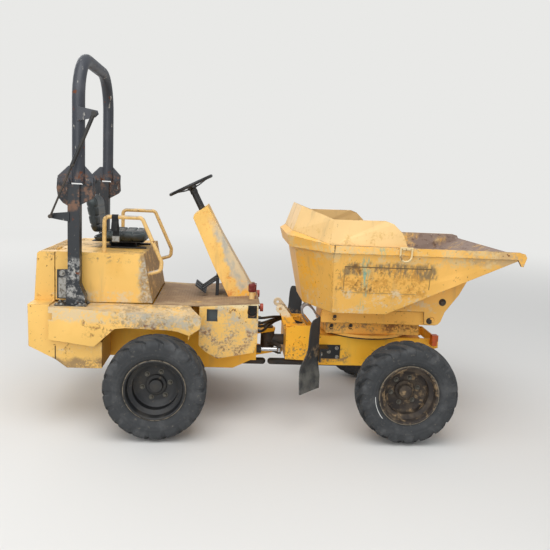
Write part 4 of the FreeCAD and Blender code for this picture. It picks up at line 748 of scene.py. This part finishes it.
class DUMPER_OT_rims(bpy.types.Operator):
    """Pressed wheel rims with hub, nuts and studs"""

    bl_idname = "dumper.rims"
    bl_label = "Rims"

    profile = [(0.222, 0.100), (0.2235, 0.096), (0.222, 0.090), (0.212, 0.087), (0.2075, 0.084), (0.2075, 0.050),
               (0.174, 0.030), (0.174, -0.030), (0.2075, -0.050), (0.2075, -0.084), (0.212, -0.087),
               (0.222, -0.090), (0.2235, -0.096), (0.222, -0.100), (0.200, -0.098), (0.196, -0.054),
               (0.166, -0.036), (0.150, -0.044), (0.140, -0.052), (0.110, -0.054), (0.070, -0.056),
               (0.070, -0.044), (0.110, -0.042), (0.136, -0.040), (0.148, -0.032), (0.166, -0.024),
               (0.166, 0.036), (0.196, 0.054), (0.200, 0.088), (0.206, 0.099), (0.214, 0.103)]
    hub = [(0.0, -0.096), (0.076, -0.096), (0.076, -0.030), (0.070, -0.026), (0.052, -0.026), (0.050, 0.000),
           (0.046, 0.006), (0.020, 0.008), (0.0, 0.008)]
    flange = [(0.2165, 0.1015), (0.2228, 0.1012), (0.2252, 0.0975), (0.2245, 0.0935), (0.2215, 0.0960)]
    nut_count, nut_circle, nut_seat, nut_turn = 6, 0.102, -0.044, 10.6

    def execute(self, context):
        for corner, side in WHEELS.items():
            front = corner[0] == "f"
            paint = "rusted_rim_steel" if front else "black_machine_enamel"
            centre = middle("rim_" + corner)
            stock = Stock()
            stock.turned(self.profile, centre, side)
            stock.turned(self.hub, centre, side, 64, closed=False)
            body, slot = "wheel_" + corner, "rim_front" if front else "black_paint"
            rim = stock.make("rim_steel_" + corner, paint, body)
            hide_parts("rim_" + corner)
            edge = Stock()
            for hand in (1.0, -1.0):
                edge.turned(self.flange, centre, side * hand)
            edge.make("rim_edge_" + corner, "dusted_flange_steel", body)
            nuts = Stock()
            for turn in math.radians(self.nut_turn) + circle(self.nut_count):
                spot = centre + np.array([self.nut_circle * math.cos(turn), side * self.nut_seat,
                                          self.nut_circle * math.sin(turn)])
                nuts.turned([(0.0, 0.0), (0.019, 0.0), (0.019, 0.004), (0.0, 0.004)], spot, side, 24, closed=False)
                nuts.turned([(0.0, 0.0), (0.014, 0.0), (0.0145, 0.015), (0.011, 0.019), (0.0, 0.019)],
                            spot, side, 6, closed=False)
                nuts.turned([(0.0, 0.0), (0.007, 0.0), (0.007, 0.028), (0.0, 0.030)], spot, side, 12, closed=False)
            nuts.make("wheel_nuts_" + corner, "muddied_zinc_plate", body, smooth=25.0)
        return {"FINISHED"}


class DUMPER_OT_seat(bpy.types.Operator):
    """Vinyl suspension seat: stuffed cushion and back, pan, rubber bellows and lap belt"""

    bl_idname = "dumper.seat"
    bl_label = "Seat"

    voxel, pressure, most_swelling, frames = 0.007, 4.0, 0.007, 20

    def execute(self, context):
        vinyl = self.vinyl().name
        cushion = self.stuffed("cushion_pad", self.cushion_shell(), vinyl)
        self.sew(cushion, 2, [(0, ax(-440), 0.006, 0.007), (0, ax(-352), 0.006, 0.007), (0, ax(-268), 0.006, 0.006),
                              (1, -0.150, 0.007, 0.008), (1, 0.150, 0.007, 0.008)])
        self.sew(cushion, 1, [(0, ax(-345), 0.012, 0.010)])
        self.sew(cushion, 1, [(2, z, 0.005, 0.005) for z in (1.372, 1.390, 1.408)], before=ax(-380))
        back = self.stuffed("back_pad", self.back_shell(), vinyl)
        self.sew(back, 0, [(2, 1.475, 0.007, 0.007), (2, 1.545, 0.007, 0.007), (2, 1.615, 0.007, 0.006),
                           (1, -0.145, 0.007, 0.007), (1, 0.145, 0.007, 0.007)])
        for piece, node in ((cushion, "seat_cushion"), (back, "seat_back")):
            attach(piece, "engine_cover")
            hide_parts(node)
        self.pan()
        self.bellows()
        self.belt()
        return {"FINISHED"}

    def vinyl(self):
        """Calendered PVC on foam, chalked grey-green by the sun: a fine emboss and a soft shine."""
        finish = Finish("sun_chalked_seat_vinyl", "272D2E", 0.42)
        finish.coat(finish.cloud(0.06, 4.0, 0.45, 0.75), "3F4A4A", 0.5)
        finish.coat(finish.cloud(0.02, 5.0, 0.62, 0.72, shift=4.0), "6E7672", 0.7)
        finish.relief(finish.mottle(0.003, 3.0), 0.0005)
        finish.relief(finish.mottle(0.05, 3.0, stretch=(0.4, 1.6, 1.0)), 0.002)
        return finish.done()

    def shell(self, square):
        """Closed unit shell: each coordinate is a power of the sphere's cosine or sine, squarer at low powers."""
        lean = np.linspace(-np.pi / 2, np.pi / 2, 41)[:, None]
        turn = circle(96)[None, :]

        def power(value):
            return np.sign(value) * np.abs(value) ** square

        return np.stack([power(np.cos(lean)) * power(np.cos(turn)), power(np.cos(lean)) * power(np.sin(turn)),
                         power(np.sin(lean)) + 0.0 * turn], axis=-1)

    def cushion_shell(self):
        """Cushion: low under the back, hollow in its middle, a roll at its front, sides drawn in below."""
        low, high = (np.array(corner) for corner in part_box("seat_cushion"))
        unit = self.shell(0.40)
        p, q, r = unit[..., 0], unit[..., 1], unit[..., 2]
        x = (low[0] + high[0]) / 2.0 + p * ((high[0] - low[0]) / 2.0 - 0.006)
        rear = np.clip((x - ax(-540)) / 0.08, 0.0, 1.0)
        height = 0.036 + 0.040 * rear * rear * (3.0 - 2.0 * rear)
        height = height - 0.018 * np.clip(1.0 - q * q * 1.6, 0.0, 1.0) * np.clip(1.0 - p * p * 1.4, 0.0, 1.0)
        y = q * (high[1] - 0.007) * (1.0 - 0.05 * np.clip(-r, 0.0, 1.0))
        return np.stack([x, y, low[2] + 0.002 + (r + 1.0) / 2.0 * height], axis=-1)

    def back_shell(self):
        """Back: leans to the rear, its sides wrap forward, narrower at the top."""
        low, high = (np.array(corner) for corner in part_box("seat_back"))
        unit = self.shell(0.42)
        p, q, r = unit[..., 0], unit[..., 1], unit[..., 2]
        z = (low[2] + high[2]) / 2.0 + p * ((high[2] - low[2]) / 2.0 - 0.006)
        share = (z - low[2]) / (high[2] - low[2])
        x = ax(-553) - 0.050 * share + r * (0.030 + 0.012 * share) + 0.010 * q ** 4
        return np.stack([x, q * (high[1] - 0.006) * (1.0 - 0.08 * share ** 2), z], axis=-1)

    def stuffed(self, name, points, material):
        """Voxel remesh, cloth under pressure without gravity, no point moving further than allowed, one subdivision."""
        stock = Stock()
        stock.grid(points, wrap_columns=True)
        piece = stock.make(name, material, None)
        even = piece.modifiers.new("even", "REMESH")
        even.mode, even.voxel_size, even.use_smooth_shade = "VOXEL", self.voxel, True
        self.bake(piece)
        start = self.places(piece.data)
        cloth = piece.modifiers.new("stuffing", "CLOTH")
        cloth.settings.quality = 5
        cloth.settings.use_pressure = True
        cloth.settings.uniform_pressure_force = self.pressure
        cloth.settings.effector_weights.gravity = 0.0
        for frame_number in range(1, self.frames + 1):
            bpy.context.scene.frame_set(frame_number)
        swollen = piece.evaluated_get(bpy.context.evaluated_depsgraph_get())
        move = self.places(swollen.data) - start
        piece.modifiers.remove(cloth)
        far = np.linalg.norm(move, axis=1)[:, None]
        start += move * np.minimum(1.0, self.most_swelling / np.maximum(far, 1e-9))
        piece.data.vertices.foreach_set("co", start.ravel())
        bpy.context.scene.frame_set(1)
        rounder = piece.modifiers.new("round", "SUBSURF")
        rounder.levels = rounder.render_levels = 1
        self.bake(piece)
        piece.data.shade_smooth()
        return piece

    def bake(self, piece):
        """Applies the modifiers to the mesh."""
        made = bpy.data.meshes.new_from_object(piece.evaluated_get(bpy.context.evaluated_depsgraph_get()))
        piece.modifiers.clear()
        piece.data = made

    def places(self, mesh):
        """Vertex places of a mesh as an array."""
        places = np.empty(len(mesh.vertices) * 3)
        mesh.vertices.foreach_get("co", places)
        return places.reshape(-1, 3)

    def sew(self, piece, faces, seams, before=None):
        """Sinks seams into the faces that look along an axis: depth times a bell of the distance to the seam.

        Each seam is its axis, its place on it, its width and its depth; before keeps them behind an X.
        """
        places = self.places(piece.data)
        normals = np.empty(places.size)
        piece.data.vertices.foreach_get("normal", normals)
        normals = normals.reshape(-1, 3)
        sink = np.zeros(len(places))
        for axis, where, width, depth in seams:
            sink = np.maximum(sink, depth * np.exp(-((places[:, axis] - where) / width) ** 2))
        sink *= np.clip(np.abs(normals[:, faces]) * 1.5 - 0.3, 0.0, 1.0)
        if before is not None:
            sink *= places[:, 0] < before
        piece.data.vertices.foreach_set("co", (places - normals * sink[:, None]).ravel())
        piece.data.update()

    def pan(self):
        """Pressed pan below the cushion, two slide rails and the pedestal."""
        stock = Stock()
        stock.block((ax(-580), -0.178, 1.3465), (ax(-182), 0.178, 1.3535), 0.002)
        stock.block((ax(-428), -0.118, 1.300), (ax(-246), 0.118, 1.3465), 0.004)
        for y in (-0.160, 0.125):
            stock.block((ax(-500), y, 1.2965), (ax(-160), y + 0.035, 1.3100), 0.002)
        piece = stock.make("seat_pan", "black_moulded_polymer", "engine_cover")
        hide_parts("seat_frame")

    def bellows(self):
        """Rubber bellows: four folds round a squared plan, fanning open toward the front."""
        rise = np.linspace(0.0, 1.0, 49)[:, None]
        turn = circle(96)[None, :]
        fold = 0.013 * (1.0 - np.abs(np.cos(4.0 * np.pi * rise)) ** 0.8)
        x = ax(-342) + (0.094 + fold) * np.sign(np.cos(turn)) * np.abs(np.cos(turn)) ** 0.35
        y = (0.142 + fold) * np.sign(np.sin(turn)) * np.abs(np.sin(turn)) ** 0.35
        front = np.clip((x - ax(-442)) / 0.20, 0.0, 1.0)
        z = 1.3105 + rise * (0.017 + 0.0185 * front)
        stock = Stock()
        stock.grid(np.stack([x, y, z], axis=-1), wrap_columns=True)
        stock.faces.append(list(range(95, -1, -1)))
        stock.faces.append([stock.count - 96 + k for k in range(96)])
        stock.make("seat_bellows", "moulded_epdm_rubber", "engine_cover", smooth=50.0)

    def belt(self):
        """Lap belt slung over the near guard rail: one flat strip round the tube, its tongue hanging inside."""
        turn = np.linspace(-0.45, np.pi + 0.35, 15)
        rail = np.array([ax(-358), -0.440, 1.563])
        round_rail = np.stack([0.0 * turn, 0.0185 * np.cos(turn), 0.0185 * np.sin(turn)], axis=-1) + rail
        inside = smooth_line([rail + (0.0, 0.030, -0.150), rail + (0.004, 0.022, -0.090),
                              rail + (0.0, 0.018, -0.040)], 8)
        outside = smooth_line([rail + (0.0, -0.019, -0.030), rail + (-0.003, -0.022, -0.070),
                               rail + (-0.004, -0.021, -0.105)], 8)
        stock = Stock()
        stock.band(np.concatenate([inside, round_rail, outside]), (1.0, 0.0, 0.0), 0.046, 0.0022)
        stock.make("lap_belt", self.webbing().name, "engine_cover")
        tongue = Stock()
        tongue.block(rail + (-0.028, 0.024, -0.190), rail + (0.028, 0.036, -0.145), 0.004)
        tongue.make("belt_tongue", "dull_zinc_plate", "engine_cover")

    def webbing(self):
        """Woven polyester webbing: twill ribs along its length, faded and dusty."""
        finish = Finish("woven_polyester_webbing", "18191B", 0.8)
        finish.coat(finish.cloud(0.02, 4.0, 0.5, 0.8), "3A3936", 0.9)
        ribs = finish.add("ShaderNodeTexWave", {"Vector": finish.place, "Scale": 160.0}, bands_direction="X")
        finish.relief(ribs.outputs["Fac"], 0.0004)
        return finish.done()


class DUMPER_OT_helm(bpy.types.Operator):
    """Steering wheel: a round rim with finger grips below, three dished spokes and a capped hub"""

    bl_idname = "dumper.helm"
    bl_label = "Steering wheel"

    tilt = math.radians(27.3)
    centre = (-0.708, 0.0, 1.812)

    def execute(self, context):
        axis = np.array([-math.sin(self.tilt), 0.0, math.cos(self.tilt)])
        along = np.array([math.cos(self.tilt), 0.0, math.sin(self.tilt)])
        across = np.array([0.0, 1.0, 0.0])
        centre = np.array(self.centre)
        turn = circle(192)[:, None, None]
        round_tube = circle(24)[None, :, None]
        grip = 0.0130 - 0.0012 * (0.5 + 0.5 * np.cos(36.0 * turn)) * np.clip(-np.sin(round_tube), 0.0, 1.0)
        out = along * np.cos(turn) + across * np.sin(turn)
        points = centre + out * (0.180 + grip * np.cos(round_tube)) + axis * grip * np.sin(round_tube)
        stock = Stock()
        stock.grid(points, wrap_rows=True, wrap_columns=True)
        hub_low = centre - axis * 0.070
        stock.spun([(0.0, 0.0), (0.030, 0.0), (0.031, 0.006), (0.029, 0.034), (0.040, 0.040), (0.042, 0.050),
                    (0.038, 0.058), (0.024, 0.062), (0.0, 0.063)], hub_low, axis, 48)
        for k in range(3):
            turn = math.radians(30.0 + 120.0 * k)
            out = along * math.cos(turn) + across * math.sin(turn)
            side = np.cross(axis, out)
            path = smooth_line([hub_low + axis * 0.046 + out * 0.022, hub_low + axis * 0.046 + out * 0.060,
                                hub_low + axis * 0.058 + out * 0.120, centre + out * 0.178], 24)
            stock.band(path, side, np.linspace(0.030, 0.020, 24), 0.009)
        piece = stock.make("helm", "black_moulded_polymer", "steering_wheel", smooth=50.0)
        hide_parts("steering_wheel")
        return {"FINISHED"}


class DUMPER_OT_flaps(bpy.types.Operator):
    """Rubber mud flaps behind the front wheels: hung askew, kicked back below, their top corner rounded"""

    bl_idname = "dumper.flaps"
    bl_label = "Mud flaps"

    def execute(self, context):
        stock = Stock()
        for side in (-1.0, 1.0):
            down = np.linspace(0.0, 1.0, 61)[:, None]
            out = np.linspace(0.0, 1.0, 25)[None, :]
            corner = np.clip((out - 0.72) / 0.28, 0.0, 1.0)
            top = 0.888 - 0.045 * (1.0 - np.sqrt(1.0 - 0.98 * corner ** 2))
            z = top + (0.328 - top) * down
            kick = np.clip((0.700 - z) / 0.19, 0.0, 1.0)
            kick = kick * kick * (3.0 - 2.0 * kick)
            outer = ax(1118) - 0.022 * np.clip((0.890 - z) / 0.2, 0.0, 1.0) - 0.048 * kick
            inner = ax(1199) + 0.018 * np.clip((0.530 - z) / 0.1, 0.0, 1.0)
            x = inner + (outer - inner) * out + 0.010 * np.sin(np.pi * out) * np.cos(5.0 * z) * (0.3 + kick)
            x = x + 0.004 * np.sin(17.0 * z + 3.0 * out) * out
            y = side * (0.600 + 0.180 * out) + 0.0 * z
            front = np.stack([x + 0.004, y, z], axis=-1)
            rear = np.stack([x - 0.005, y, z], axis=-1)
            stock.plate(front, rear)
        piece = stock.make("flap_rubber", self.belting().name, "front_frame", smooth=40.0)
        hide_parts("mud_flaps")
        return {"FINISHED"}

    def belting(self):
        """Reinforced rubber belting: black above, greyed by road dust toward its lower end."""
        finish = Finish("dusty_rubber_belting", "26282B", 0.7)
        finish.coat(finish.cloud(0.05, 5.0, 0.5, 0.75, stretch=(1, 1, 3)), "3C3E40", 0.8)
        low = finish.ramp(finish.axis(finish.place, "Z"), 0.66, 0.42)
        finish.coat(finish.both(low, finish.cloud(0.04, 5.0, 0.25, 0.7)), "66655F", 0.92)
        band = finish.within((0.0, -1.0, 0.60), (0.5, 1.0, 0.66), 0.03, 0.02)
        finish.coat(finish.both(band, finish.cloud(0.02, 5.0, 0.45, 0.65, shift=3.0)),
                    "8A7458", 0.9)
        finish.relief(finish.mottle(0.02, 4.0, stretch=(1, 1, 3)), 0.0015)
        return finish.done()


class DUMPER_OT_shackles(bpy.types.Operator):
    """Lifting shackles: a bent rod in a staple on each side of the skip"""

    bl_idname = "dumper.shackles"
    bl_label = "Lifting shackles"

    def execute(self, context):
        stock = Stock()
        turn = np.linspace(0.0, np.pi, 25)
        for side in (-1.0, 1.0):
            y = side * 0.7535
            bottom = np.stack([ax(1780) - 0.042 * np.cos(turn), 0.0 * turn + y, 1.388 - 0.042 * np.sin(turn)], axis=-1)
            left = np.array([[ax(1738), y, z] for z in (1.447, 1.430, 1.410)])
            right = np.array([[ax(1822), y, z] for z in (1.410, 1.430, 1.447)])
            stock.tube(np.concatenate([left, bottom, right]), 0.0075, 20)
            stock.tube(np.array([[ax(1732), y, 1.444], [ax(1780), y, 1.4445], [ax(1828), y, 1.444]]), 0.0078, 20)
            near, far = sorted((side * 0.738, side * 0.7625))
            stock.block((ax(1748), near, 1.430), (ax(1812), far, 1.4395), 0.003)
        piece = stock.make("shackle_rods", "chalked_cream_enamel", "skip")
        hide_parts("lifting_rings")
        return {"FINISHED"}

class DUMPER_OT_hoses(bpy.types.Operator):
    """Hydraulic hoses: a black bundle over the articulation, two braided ones up to the slew ring"""

    bl_idname = "dumper.hoses"
    bl_label = "Hoses"

    def execute(self, context):
        guard = self.braid().name
        for k, (start_y, start_z, lie) in enumerate([(-0.322, 0.802, 0.055), (-0.345, 0.768, 0.030),
                                                     (-0.322, 0.736, 0.015), (-0.348, 0.704, 0.000)]):
            y_in = -0.082 + 0.024 * k
            route = [(-0.1425, start_y, start_z), (-0.095, start_y + 0.012, start_z - 0.004),
                     (0.015, -0.130 + 0.012 * k, 0.722 + lie * 0.9), (0.120, y_in, 0.733 + lie * 0.4),
                     (0.215, y_in, 0.705), (0.2895, y_in, 0.690)]
            stock = Stock()
            path = smooth_line(route, 96)
            stock.tube(path, 0.0105, 16)
            piece = stock.make("steer_hose_%d" % k, "wrapped_hose_rubber", None, smooth=50.0)
            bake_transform(piece)
            ends = Stock()
            ends.spun([(0.0, 0.0), (0.016, 0.0), (0.016, 0.010), (0.0135, 0.012), (0.0135, 0.030), (0.0, 0.030)],
                      (-0.1428, start_y, start_z), (1.0, 0.0, 0.0), 6)
            ends.make("hose_union_%d" % k, "dull_zinc_plate", "rear_frame", smooth=25.0)
        for k, y in enumerate((-0.070, -0.035)):
            route = [(0.300, y, 0.724), (0.262, y, 0.770), (0.245, y, 0.830 + 0.012 * k), (0.285, y, 0.868 + 0.012 * k),
                     (0.335, y, 0.835), (0.375, y, 0.780), (0.420, y, 0.755)]
            stock = Stock()
            stock.tube(smooth_line(route, 64), 0.0085, 16)
            stock.make("slew_hose_%d" % k, guard, "front_frame", smooth=50.0)
        return {"FINISHED"}

    def braid(self):
        """Zinc spiral guard over hose, dulled grey."""
        finish = Finish("zinc_spiral_guard", "B8BABC", 0.4, metallic=0.7)
        rings = finish.add("ShaderNodeTexWave", {"Vector": finish.place, "Scale": 70.0}, bands_direction="DIAGONAL")
        finish.relief(rings.outputs["Fac"], 0.0015)
        return finish.done()


class DUMPER_OT_fixings(bpy.types.Operator):
    """Hexagon bolts, caps, plates, weld beads and the small fittings that a step away shows"""

    bl_idname = "dumper.fixings"
    bl_label = "Fixings"

    washer = [(0.0, 0.0), (0.85, 0.0), (0.85, 0.10), (0.52, 0.12)]
    head = [(0.0, 0.10), (0.58, 0.10), (0.58, 0.46), (0.48, 0.58), (0.0, 0.60)]

    def bolts(self, name, body, spots, material):
        """Bolt heads with washers, each given as place, outward direction and width over its corners."""
        stock = Stock()
        for place, outward, size in spots:
            stock.spun(np.array(self.washer) * size, place, outward, 24)
            stock.spun(np.array(self.head) * size, place, outward, 6)
        stock.make(name, material, body, smooth=25.0)

    def execute(self, context):
        zinc, iron = "dull_zinc_plate", "greasy_cast_iron"
        up = (0.0, 0.0, 1.0)
        posts, cowl, frame_bolts, skip_bolts = [], [], [], []
        for side in (-1.0, 1.0):
            outward = (0.0, side, 0.0)
            posts.append(((ax(-712), side * 0.584, 1.150), outward, 0.026))
            for x in (-740, -706, -574, -541):
                for y in (0.525, 0.635):
                    posts.append(((ax(x), side * y, 0.926), up, 0.022))
            for x, z in ((-910, 0.965), (-910, 1.235), (-815, 0.965), (-815, 1.235)):
                cowl.append(((ax(x), side * 0.490, z), outward, 0.010))
            for x, z in ((1408, 0.546), (1343, 0.514), (1412, 0.471)):
                frame_bolts.append(((ax(x), side * 0.235, z), outward, 0.019))
            for y in (0.620, 0.395):
                frame_bolts.append(((ax(1216), side * y, 0.600), (1.0, 0.0, 0.0), 0.022))
            skip_bolts += [((ax(2190), side * 0.436, 0.994), outward, 0.034),
                           ((ax(2097), side * 0.437, 0.841), outward, 0.030)]
        self.bolts("post_bolts", "rear_frame", posts, zinc)
        self.bolts("cowl_screws", "rear_frame", cowl, "faded_alkyd_enamel")
        self.bolts("bracket_bolts", "front_frame", frame_bolts, zinc)
        self.plates()
        self.filler()
        self.welds()
        self.slew_pins()
        self.bolts("cradle_bolts", "skip", skip_bolts, iron)
        return {"FINISHED"}

    def plates(self):
        """Blank data plate riveted to the near post."""
        stock = Stock()
        stock.block((ax(-738), -0.5858, 0.968), (ax(-684), -0.5841, 1.116), 0.0006)
        for x in (-734, -688):
            for z in (0.973, 1.111):
                stock.spun([(0.0, 0.0), (0.0028, 0.0), (0.002, 0.0012), (0.0, 0.0016)], (ax(x), -0.5858, z),
                           (0.0, -1.0, 0.0), 12)
        stock.make("blank_plate", "dull_zinc_plate", "rear_frame", smooth=25.0)

    def filler(self):
        """Tank filler on the near tank: neck, knurled dark red cap and its strap."""
        stock = Stock()
        foot = np.array([ax(690), -0.300, 0.9450])
        neck = Stock()
        neck.spun([(0.0, 0.0), (0.022, 0.0), (0.022, 0.0615), (0.0, 0.0615)], foot, (0.0, 0.0, 1.0), 32)
        neck.make("filler_neck", "bleached_guard_enamel", "rear_frame", smooth=40.0)
        stock.block(foot + (0.030, -0.006, 0.0), foot + (0.034, 0.006, 0.090), 0.001)
        stock.block(foot + (0.0, -0.006, 0.126), foot + (0.034, 0.006, 0.130), 0.001)
        stock.block(foot + (0.030, -0.006, 0.088), foot + (0.034, 0.006, 0.130), 0.001)
        rise = np.array([0.060, 0.065, 0.118, 0.122])[None, :]
        turn = circle(96)[:, None]
        knurl = np.array([0.026, 0.029, 0.029, 0.024])[None, :] + 0.0008 * np.sign(np.sin(24.0 * turn))
        stock.grid(np.stack([foot[0] + knurl * np.cos(turn), foot[1] + knurl * np.sin(turn),
                             foot[2] + rise + 0.0 * turn], axis=-1), wrap_rows=True)
        stock.spun([(0.0, 0.1222), (0.0242, 0.1220), (0.012, 0.1250), (0.0, 0.1255)], foot, (0.0, 0.0, 1.0), 32)
        stock.make("filler_cap", "oxidised_red_enamel", "rear_frame", smooth=40.0)

    def bead(self, stock, path, radius=0.004):
        """A weld bead: a tube whose radius swells with each ripple, one about every 6 mm."""
        path = np.asarray(path, float)
        length = np.linalg.norm(np.diff(path, axis=0), axis=1).sum()
        line = smooth_line(path, max(8, int(length / 0.002)))
        ripple = np.linspace(0.0, length, len(line)) / 0.006 * 2.0 * np.pi
        stock.tube(line, radius * (1.0 + 0.18 * np.sin(ripple)), 8)

    def welds(self):
        """Weld beads along the post feet, the eye plates and the front cross plate."""
        rear, front = Stock(), Stock()
        for side in (-1.0, 1.0):
            for y in (0.5395, 0.6205):
                self.bead(rear, [(ax(-664), side * y, 0.927), (ax(-622), side * y, 0.927), (ax(-580), side * y, 0.927)])
            turn = np.linspace(0.0, np.pi, 9)
            arch = np.stack([ax(1084) - 0.042 * np.cos(turn), 0.0 * turn + side * 0.2295,
                             0.545 + 0.058 * np.sin(turn)], axis=-1)
            self.bead(front, arch, 0.0045)
            for y in (0.142, 0.158):
                self.bead(front, [(ax(987), side * y, 0.702), (ax(1060), side * y, 0.708), (ax(1138), side * y, 0.722)],
                          0.004)
        rear.make("post_welds", "charcoal_enamel", "rear_frame", smooth=60.0)
        front.make("frame_welds", "sheltered_alkyd_enamel", "front_frame", smooth=60.0)

    def slew_pins(self):
        """Pin holes on the slew table with hooked lock pins hanging in them."""
        stock = Stock()
        for side in (-1.0, 1.0):
            for x, y, z in ((1338, 0.4455, 0.856), (1340, 0.3105, 0.753), (1496, 0.3105, 0.757)):
                place = np.array([ax(x), side * y, z])
                stock.spun([(0.0, 0.0), (0.015, 0.0), (0.0145, 0.003), (0.0, 0.003)], place, (0.0, side, 0.0), 24)
                hook = [place + (0.0, side * 0.004, 0.0), place + (-0.010, side * 0.010, -0.004),
                        place + (-0.016, side * 0.010, -0.016), place + (-0.006, side * 0.009, -0.026),
                        place + (0.008, side * 0.008, -0.022)]
                stock.tube(smooth_line(hook, 24), 0.0035, 10)
        stock.make("slew_pins", "greasy_cast_iron", "turntable")


class DUMPER_OT_stage(bpy.types.Operator):
    """Pale floor, soft studio light and the camera at the photograph's place"""

    bl_idname = "dumper.stage"
    bl_label = "Studio"

    eye = (-0.4176, -5.3669, 1.9324)
    yaw, pitch, roll = 0.0795, 0.1536, 0.0468
    focal_pixels, frame_pixels, sensor = 650.33, 550.0, 36.0

    def execute(self, context):
        scene = context.scene
        data = bpy.data.cameras.new("camera")
        data.sensor_width = self.sensor
        data.lens = self.focal_pixels / self.frame_pixels * self.sensor
        camera = bpy.data.objects.new("camera", data)
        scene.collection.objects.link(camera)
        forward = np.array([math.sin(self.yaw) * math.cos(self.pitch), math.cos(self.yaw) * math.cos(self.pitch),
                            -math.sin(self.pitch)])
        level = np.array([math.cos(self.yaw), -math.sin(self.yaw), 0.0])
        lift = np.cross(level, forward)
        right = math.cos(self.roll) * level + math.sin(self.roll) * lift
        up = -math.sin(self.roll) * level + math.cos(self.roll) * lift
        camera.matrix_world = Matrix([
            [right[0], up[0], -forward[0], self.eye[0]],
            [right[1], up[1], -forward[1], self.eye[1]],
            [right[2], up[2], -forward[2], self.eye[2]],
            [0.0, 0.0, 0.0, 1.0],
        ])
        scene.camera = camera
        self.lay_floor(scene)
        self.light(scene)
        scene.view_settings.view_transform = "Standard"
        return {"FINISHED"}

    def lay_floor(self, scene):
        """A wide round floor, matt near the machine and melting into the background far off."""
        turn = circle(64)
        mesh = bpy.data.meshes.new("floor")
        ring = np.stack([60.0 * np.cos(turn), 60.0 * np.sin(turn), 0.0 * turn], axis=-1)
        mesh.from_pydata(ring.tolist(), [], [list(range(64))])
        floor = bpy.data.objects.new("floor", mesh)
        scene.collection.objects.link(floor)
        finish = Finish("pale_studio_floor", linear("D9D8D5"), 0.9)
        mesh.materials.append(finish.done())
        far = finish.add("ShaderNodeVectorMath", {0: finish.place}, operation="LENGTH").outputs["Value"]
        ray = finish.add("ShaderNodeLightPath")
        seen = finish.add("ShaderNodeMath", {0: ray.outputs["Is Camera Ray"], 1: ray.outputs["Is Glossy Ray"]},
                          operation="MAXIMUM").outputs[0]
        fade = finish.both(finish.ramp(far, 3.0, 16.0), seen)
        pale = finish.add("ShaderNodeEmission", {0: linear("E9E9E7"), 1: 1.0})
        mix = finish.add("ShaderNodeMixShader", {0: fade, 1: finish.shader.outputs[0], 2: pale.outputs[0]})
        out = finish.tree.nodes["Material Output"]
        finish.tree.links.new(mix.outputs[0], out.inputs[0])

    def light(self, scene):
        """An overcast sky: one broad lamp high up, two weaker ones at the sides and an even world."""
        lamps = [
            ("sky_lamp", (-0.8, -3.2, 7.5), (0.2, 0.0, 0.8), 7.0, 400.0),
            ("near_lamp", (-4.0, -13.2, 5.0), (0.3, 0.0, 0.8), 8.0, 570.0),
            ("far_lamp", (-7.0, 11.0, 6.5), (0.0, 0.0, 0.9), 8.0, 480.0),
        ]
        for name, place, aim, size, power in lamps:
            data = bpy.data.lights.new(name, "AREA")
            data.size, data.energy = size, power
            lamp = bpy.data.objects.new(name, data)
            scene.collection.objects.link(lamp)
            away = np.array(place) - np.array(aim)
            away = away / np.linalg.norm(away)
            side = np.cross([0.0, 0.0, 1.0], away)
            side /= np.linalg.norm(side)
            lift = np.cross(away, side)
            lamp.matrix_world = Matrix([[side[k], lift[k], away[k], place[k]] for k in range(3)] + [[0, 0, 0, 1]])
        world = bpy.data.worlds.new("studio")
        scene.world = world
        world.use_nodes = True
        tree = world.node_tree
        tree.nodes.clear()
        ray = tree.nodes.new("ShaderNodeLightPath")
        seen = tree.nodes.new("ShaderNodeMath")
        seen.operation = "MAXIMUM"
        tree.links.new(ray.outputs["Is Camera Ray"], seen.inputs[0])
        tree.links.new(ray.outputs["Is Transmission Ray"], seen.inputs[1])
        shown, even = tree.nodes.new("ShaderNodeBackground"), tree.nodes.new("ShaderNodeBackground")
        shown.inputs[0].default_value, shown.inputs[1].default_value = linear("E9E9E7"), 1.0
        even.inputs[0].default_value, even.inputs[1].default_value = linear("F2F4F7"), 0.62
        mix, out = tree.nodes.new("ShaderNodeMixShader"), tree.nodes.new("ShaderNodeOutputWorld")
        tree.links.new(seen.outputs[0], mix.inputs[0])
        tree.links.new(even.outputs[0], mix.inputs[1])
        tree.links.new(shown.outputs[0], mix.inputs[2])
        tree.links.new(mix.outputs[0], out.inputs[0])


STEPS = [DUMPER_OT_stage, DUMPER_OT_finishes, DUMPER_OT_tyres, DUMPER_OT_rims, DUMPER_OT_seat, DUMPER_OT_helm,
         DUMPER_OT_flaps, DUMPER_OT_shackles, DUMPER_OT_hoses, DUMPER_OT_fixings]


class DUMPER_PT_panel(bpy.types.Panel):
    """Lists the pieces and their settings"""

    bl_idname = "DUMPER_PT_panel"
    bl_label = "Site dumper"
    bl_space_type = "VIEW_3D"
    bl_region_type = "UI"
    bl_category = "Dumper"

    def draw(self, context):
        for group in (context.scene.dumper_sizes, context.scene.dumper_colours):
            for name in group.bl_rna.properties.keys():
                if name not in ("rna_type", "name"):
                    self.layout.prop(group, name)
        for step in STEPS:
            self.layout.operator(step.bl_idname)


CLASSES = [DumperColours, DumperSizes, *STEPS, DUMPER_PT_panel]


def register():
    for item in CLASSES:
        bpy.utils.register_class(item)
    bpy.types.Scene.dumper_colours = bpy.props.PointerProperty(type=DumperColours)
    bpy.types.Scene.dumper_sizes = bpy.props.PointerProperty(type=DumperSizes)


def unregister():
    del bpy.types.Scene.dumper_sizes
    del bpy.types.Scene.dumper_colours
    for item in reversed(CLASSES):
        bpy.utils.unregister_class(item)


def main():
    """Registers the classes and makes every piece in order."""
    register()
    for step in STEPS:
        group, name = step.bl_idname.split(".")
        getattr(getattr(bpy.ops, group), name)()


if __name__ == "__main__":
    main()
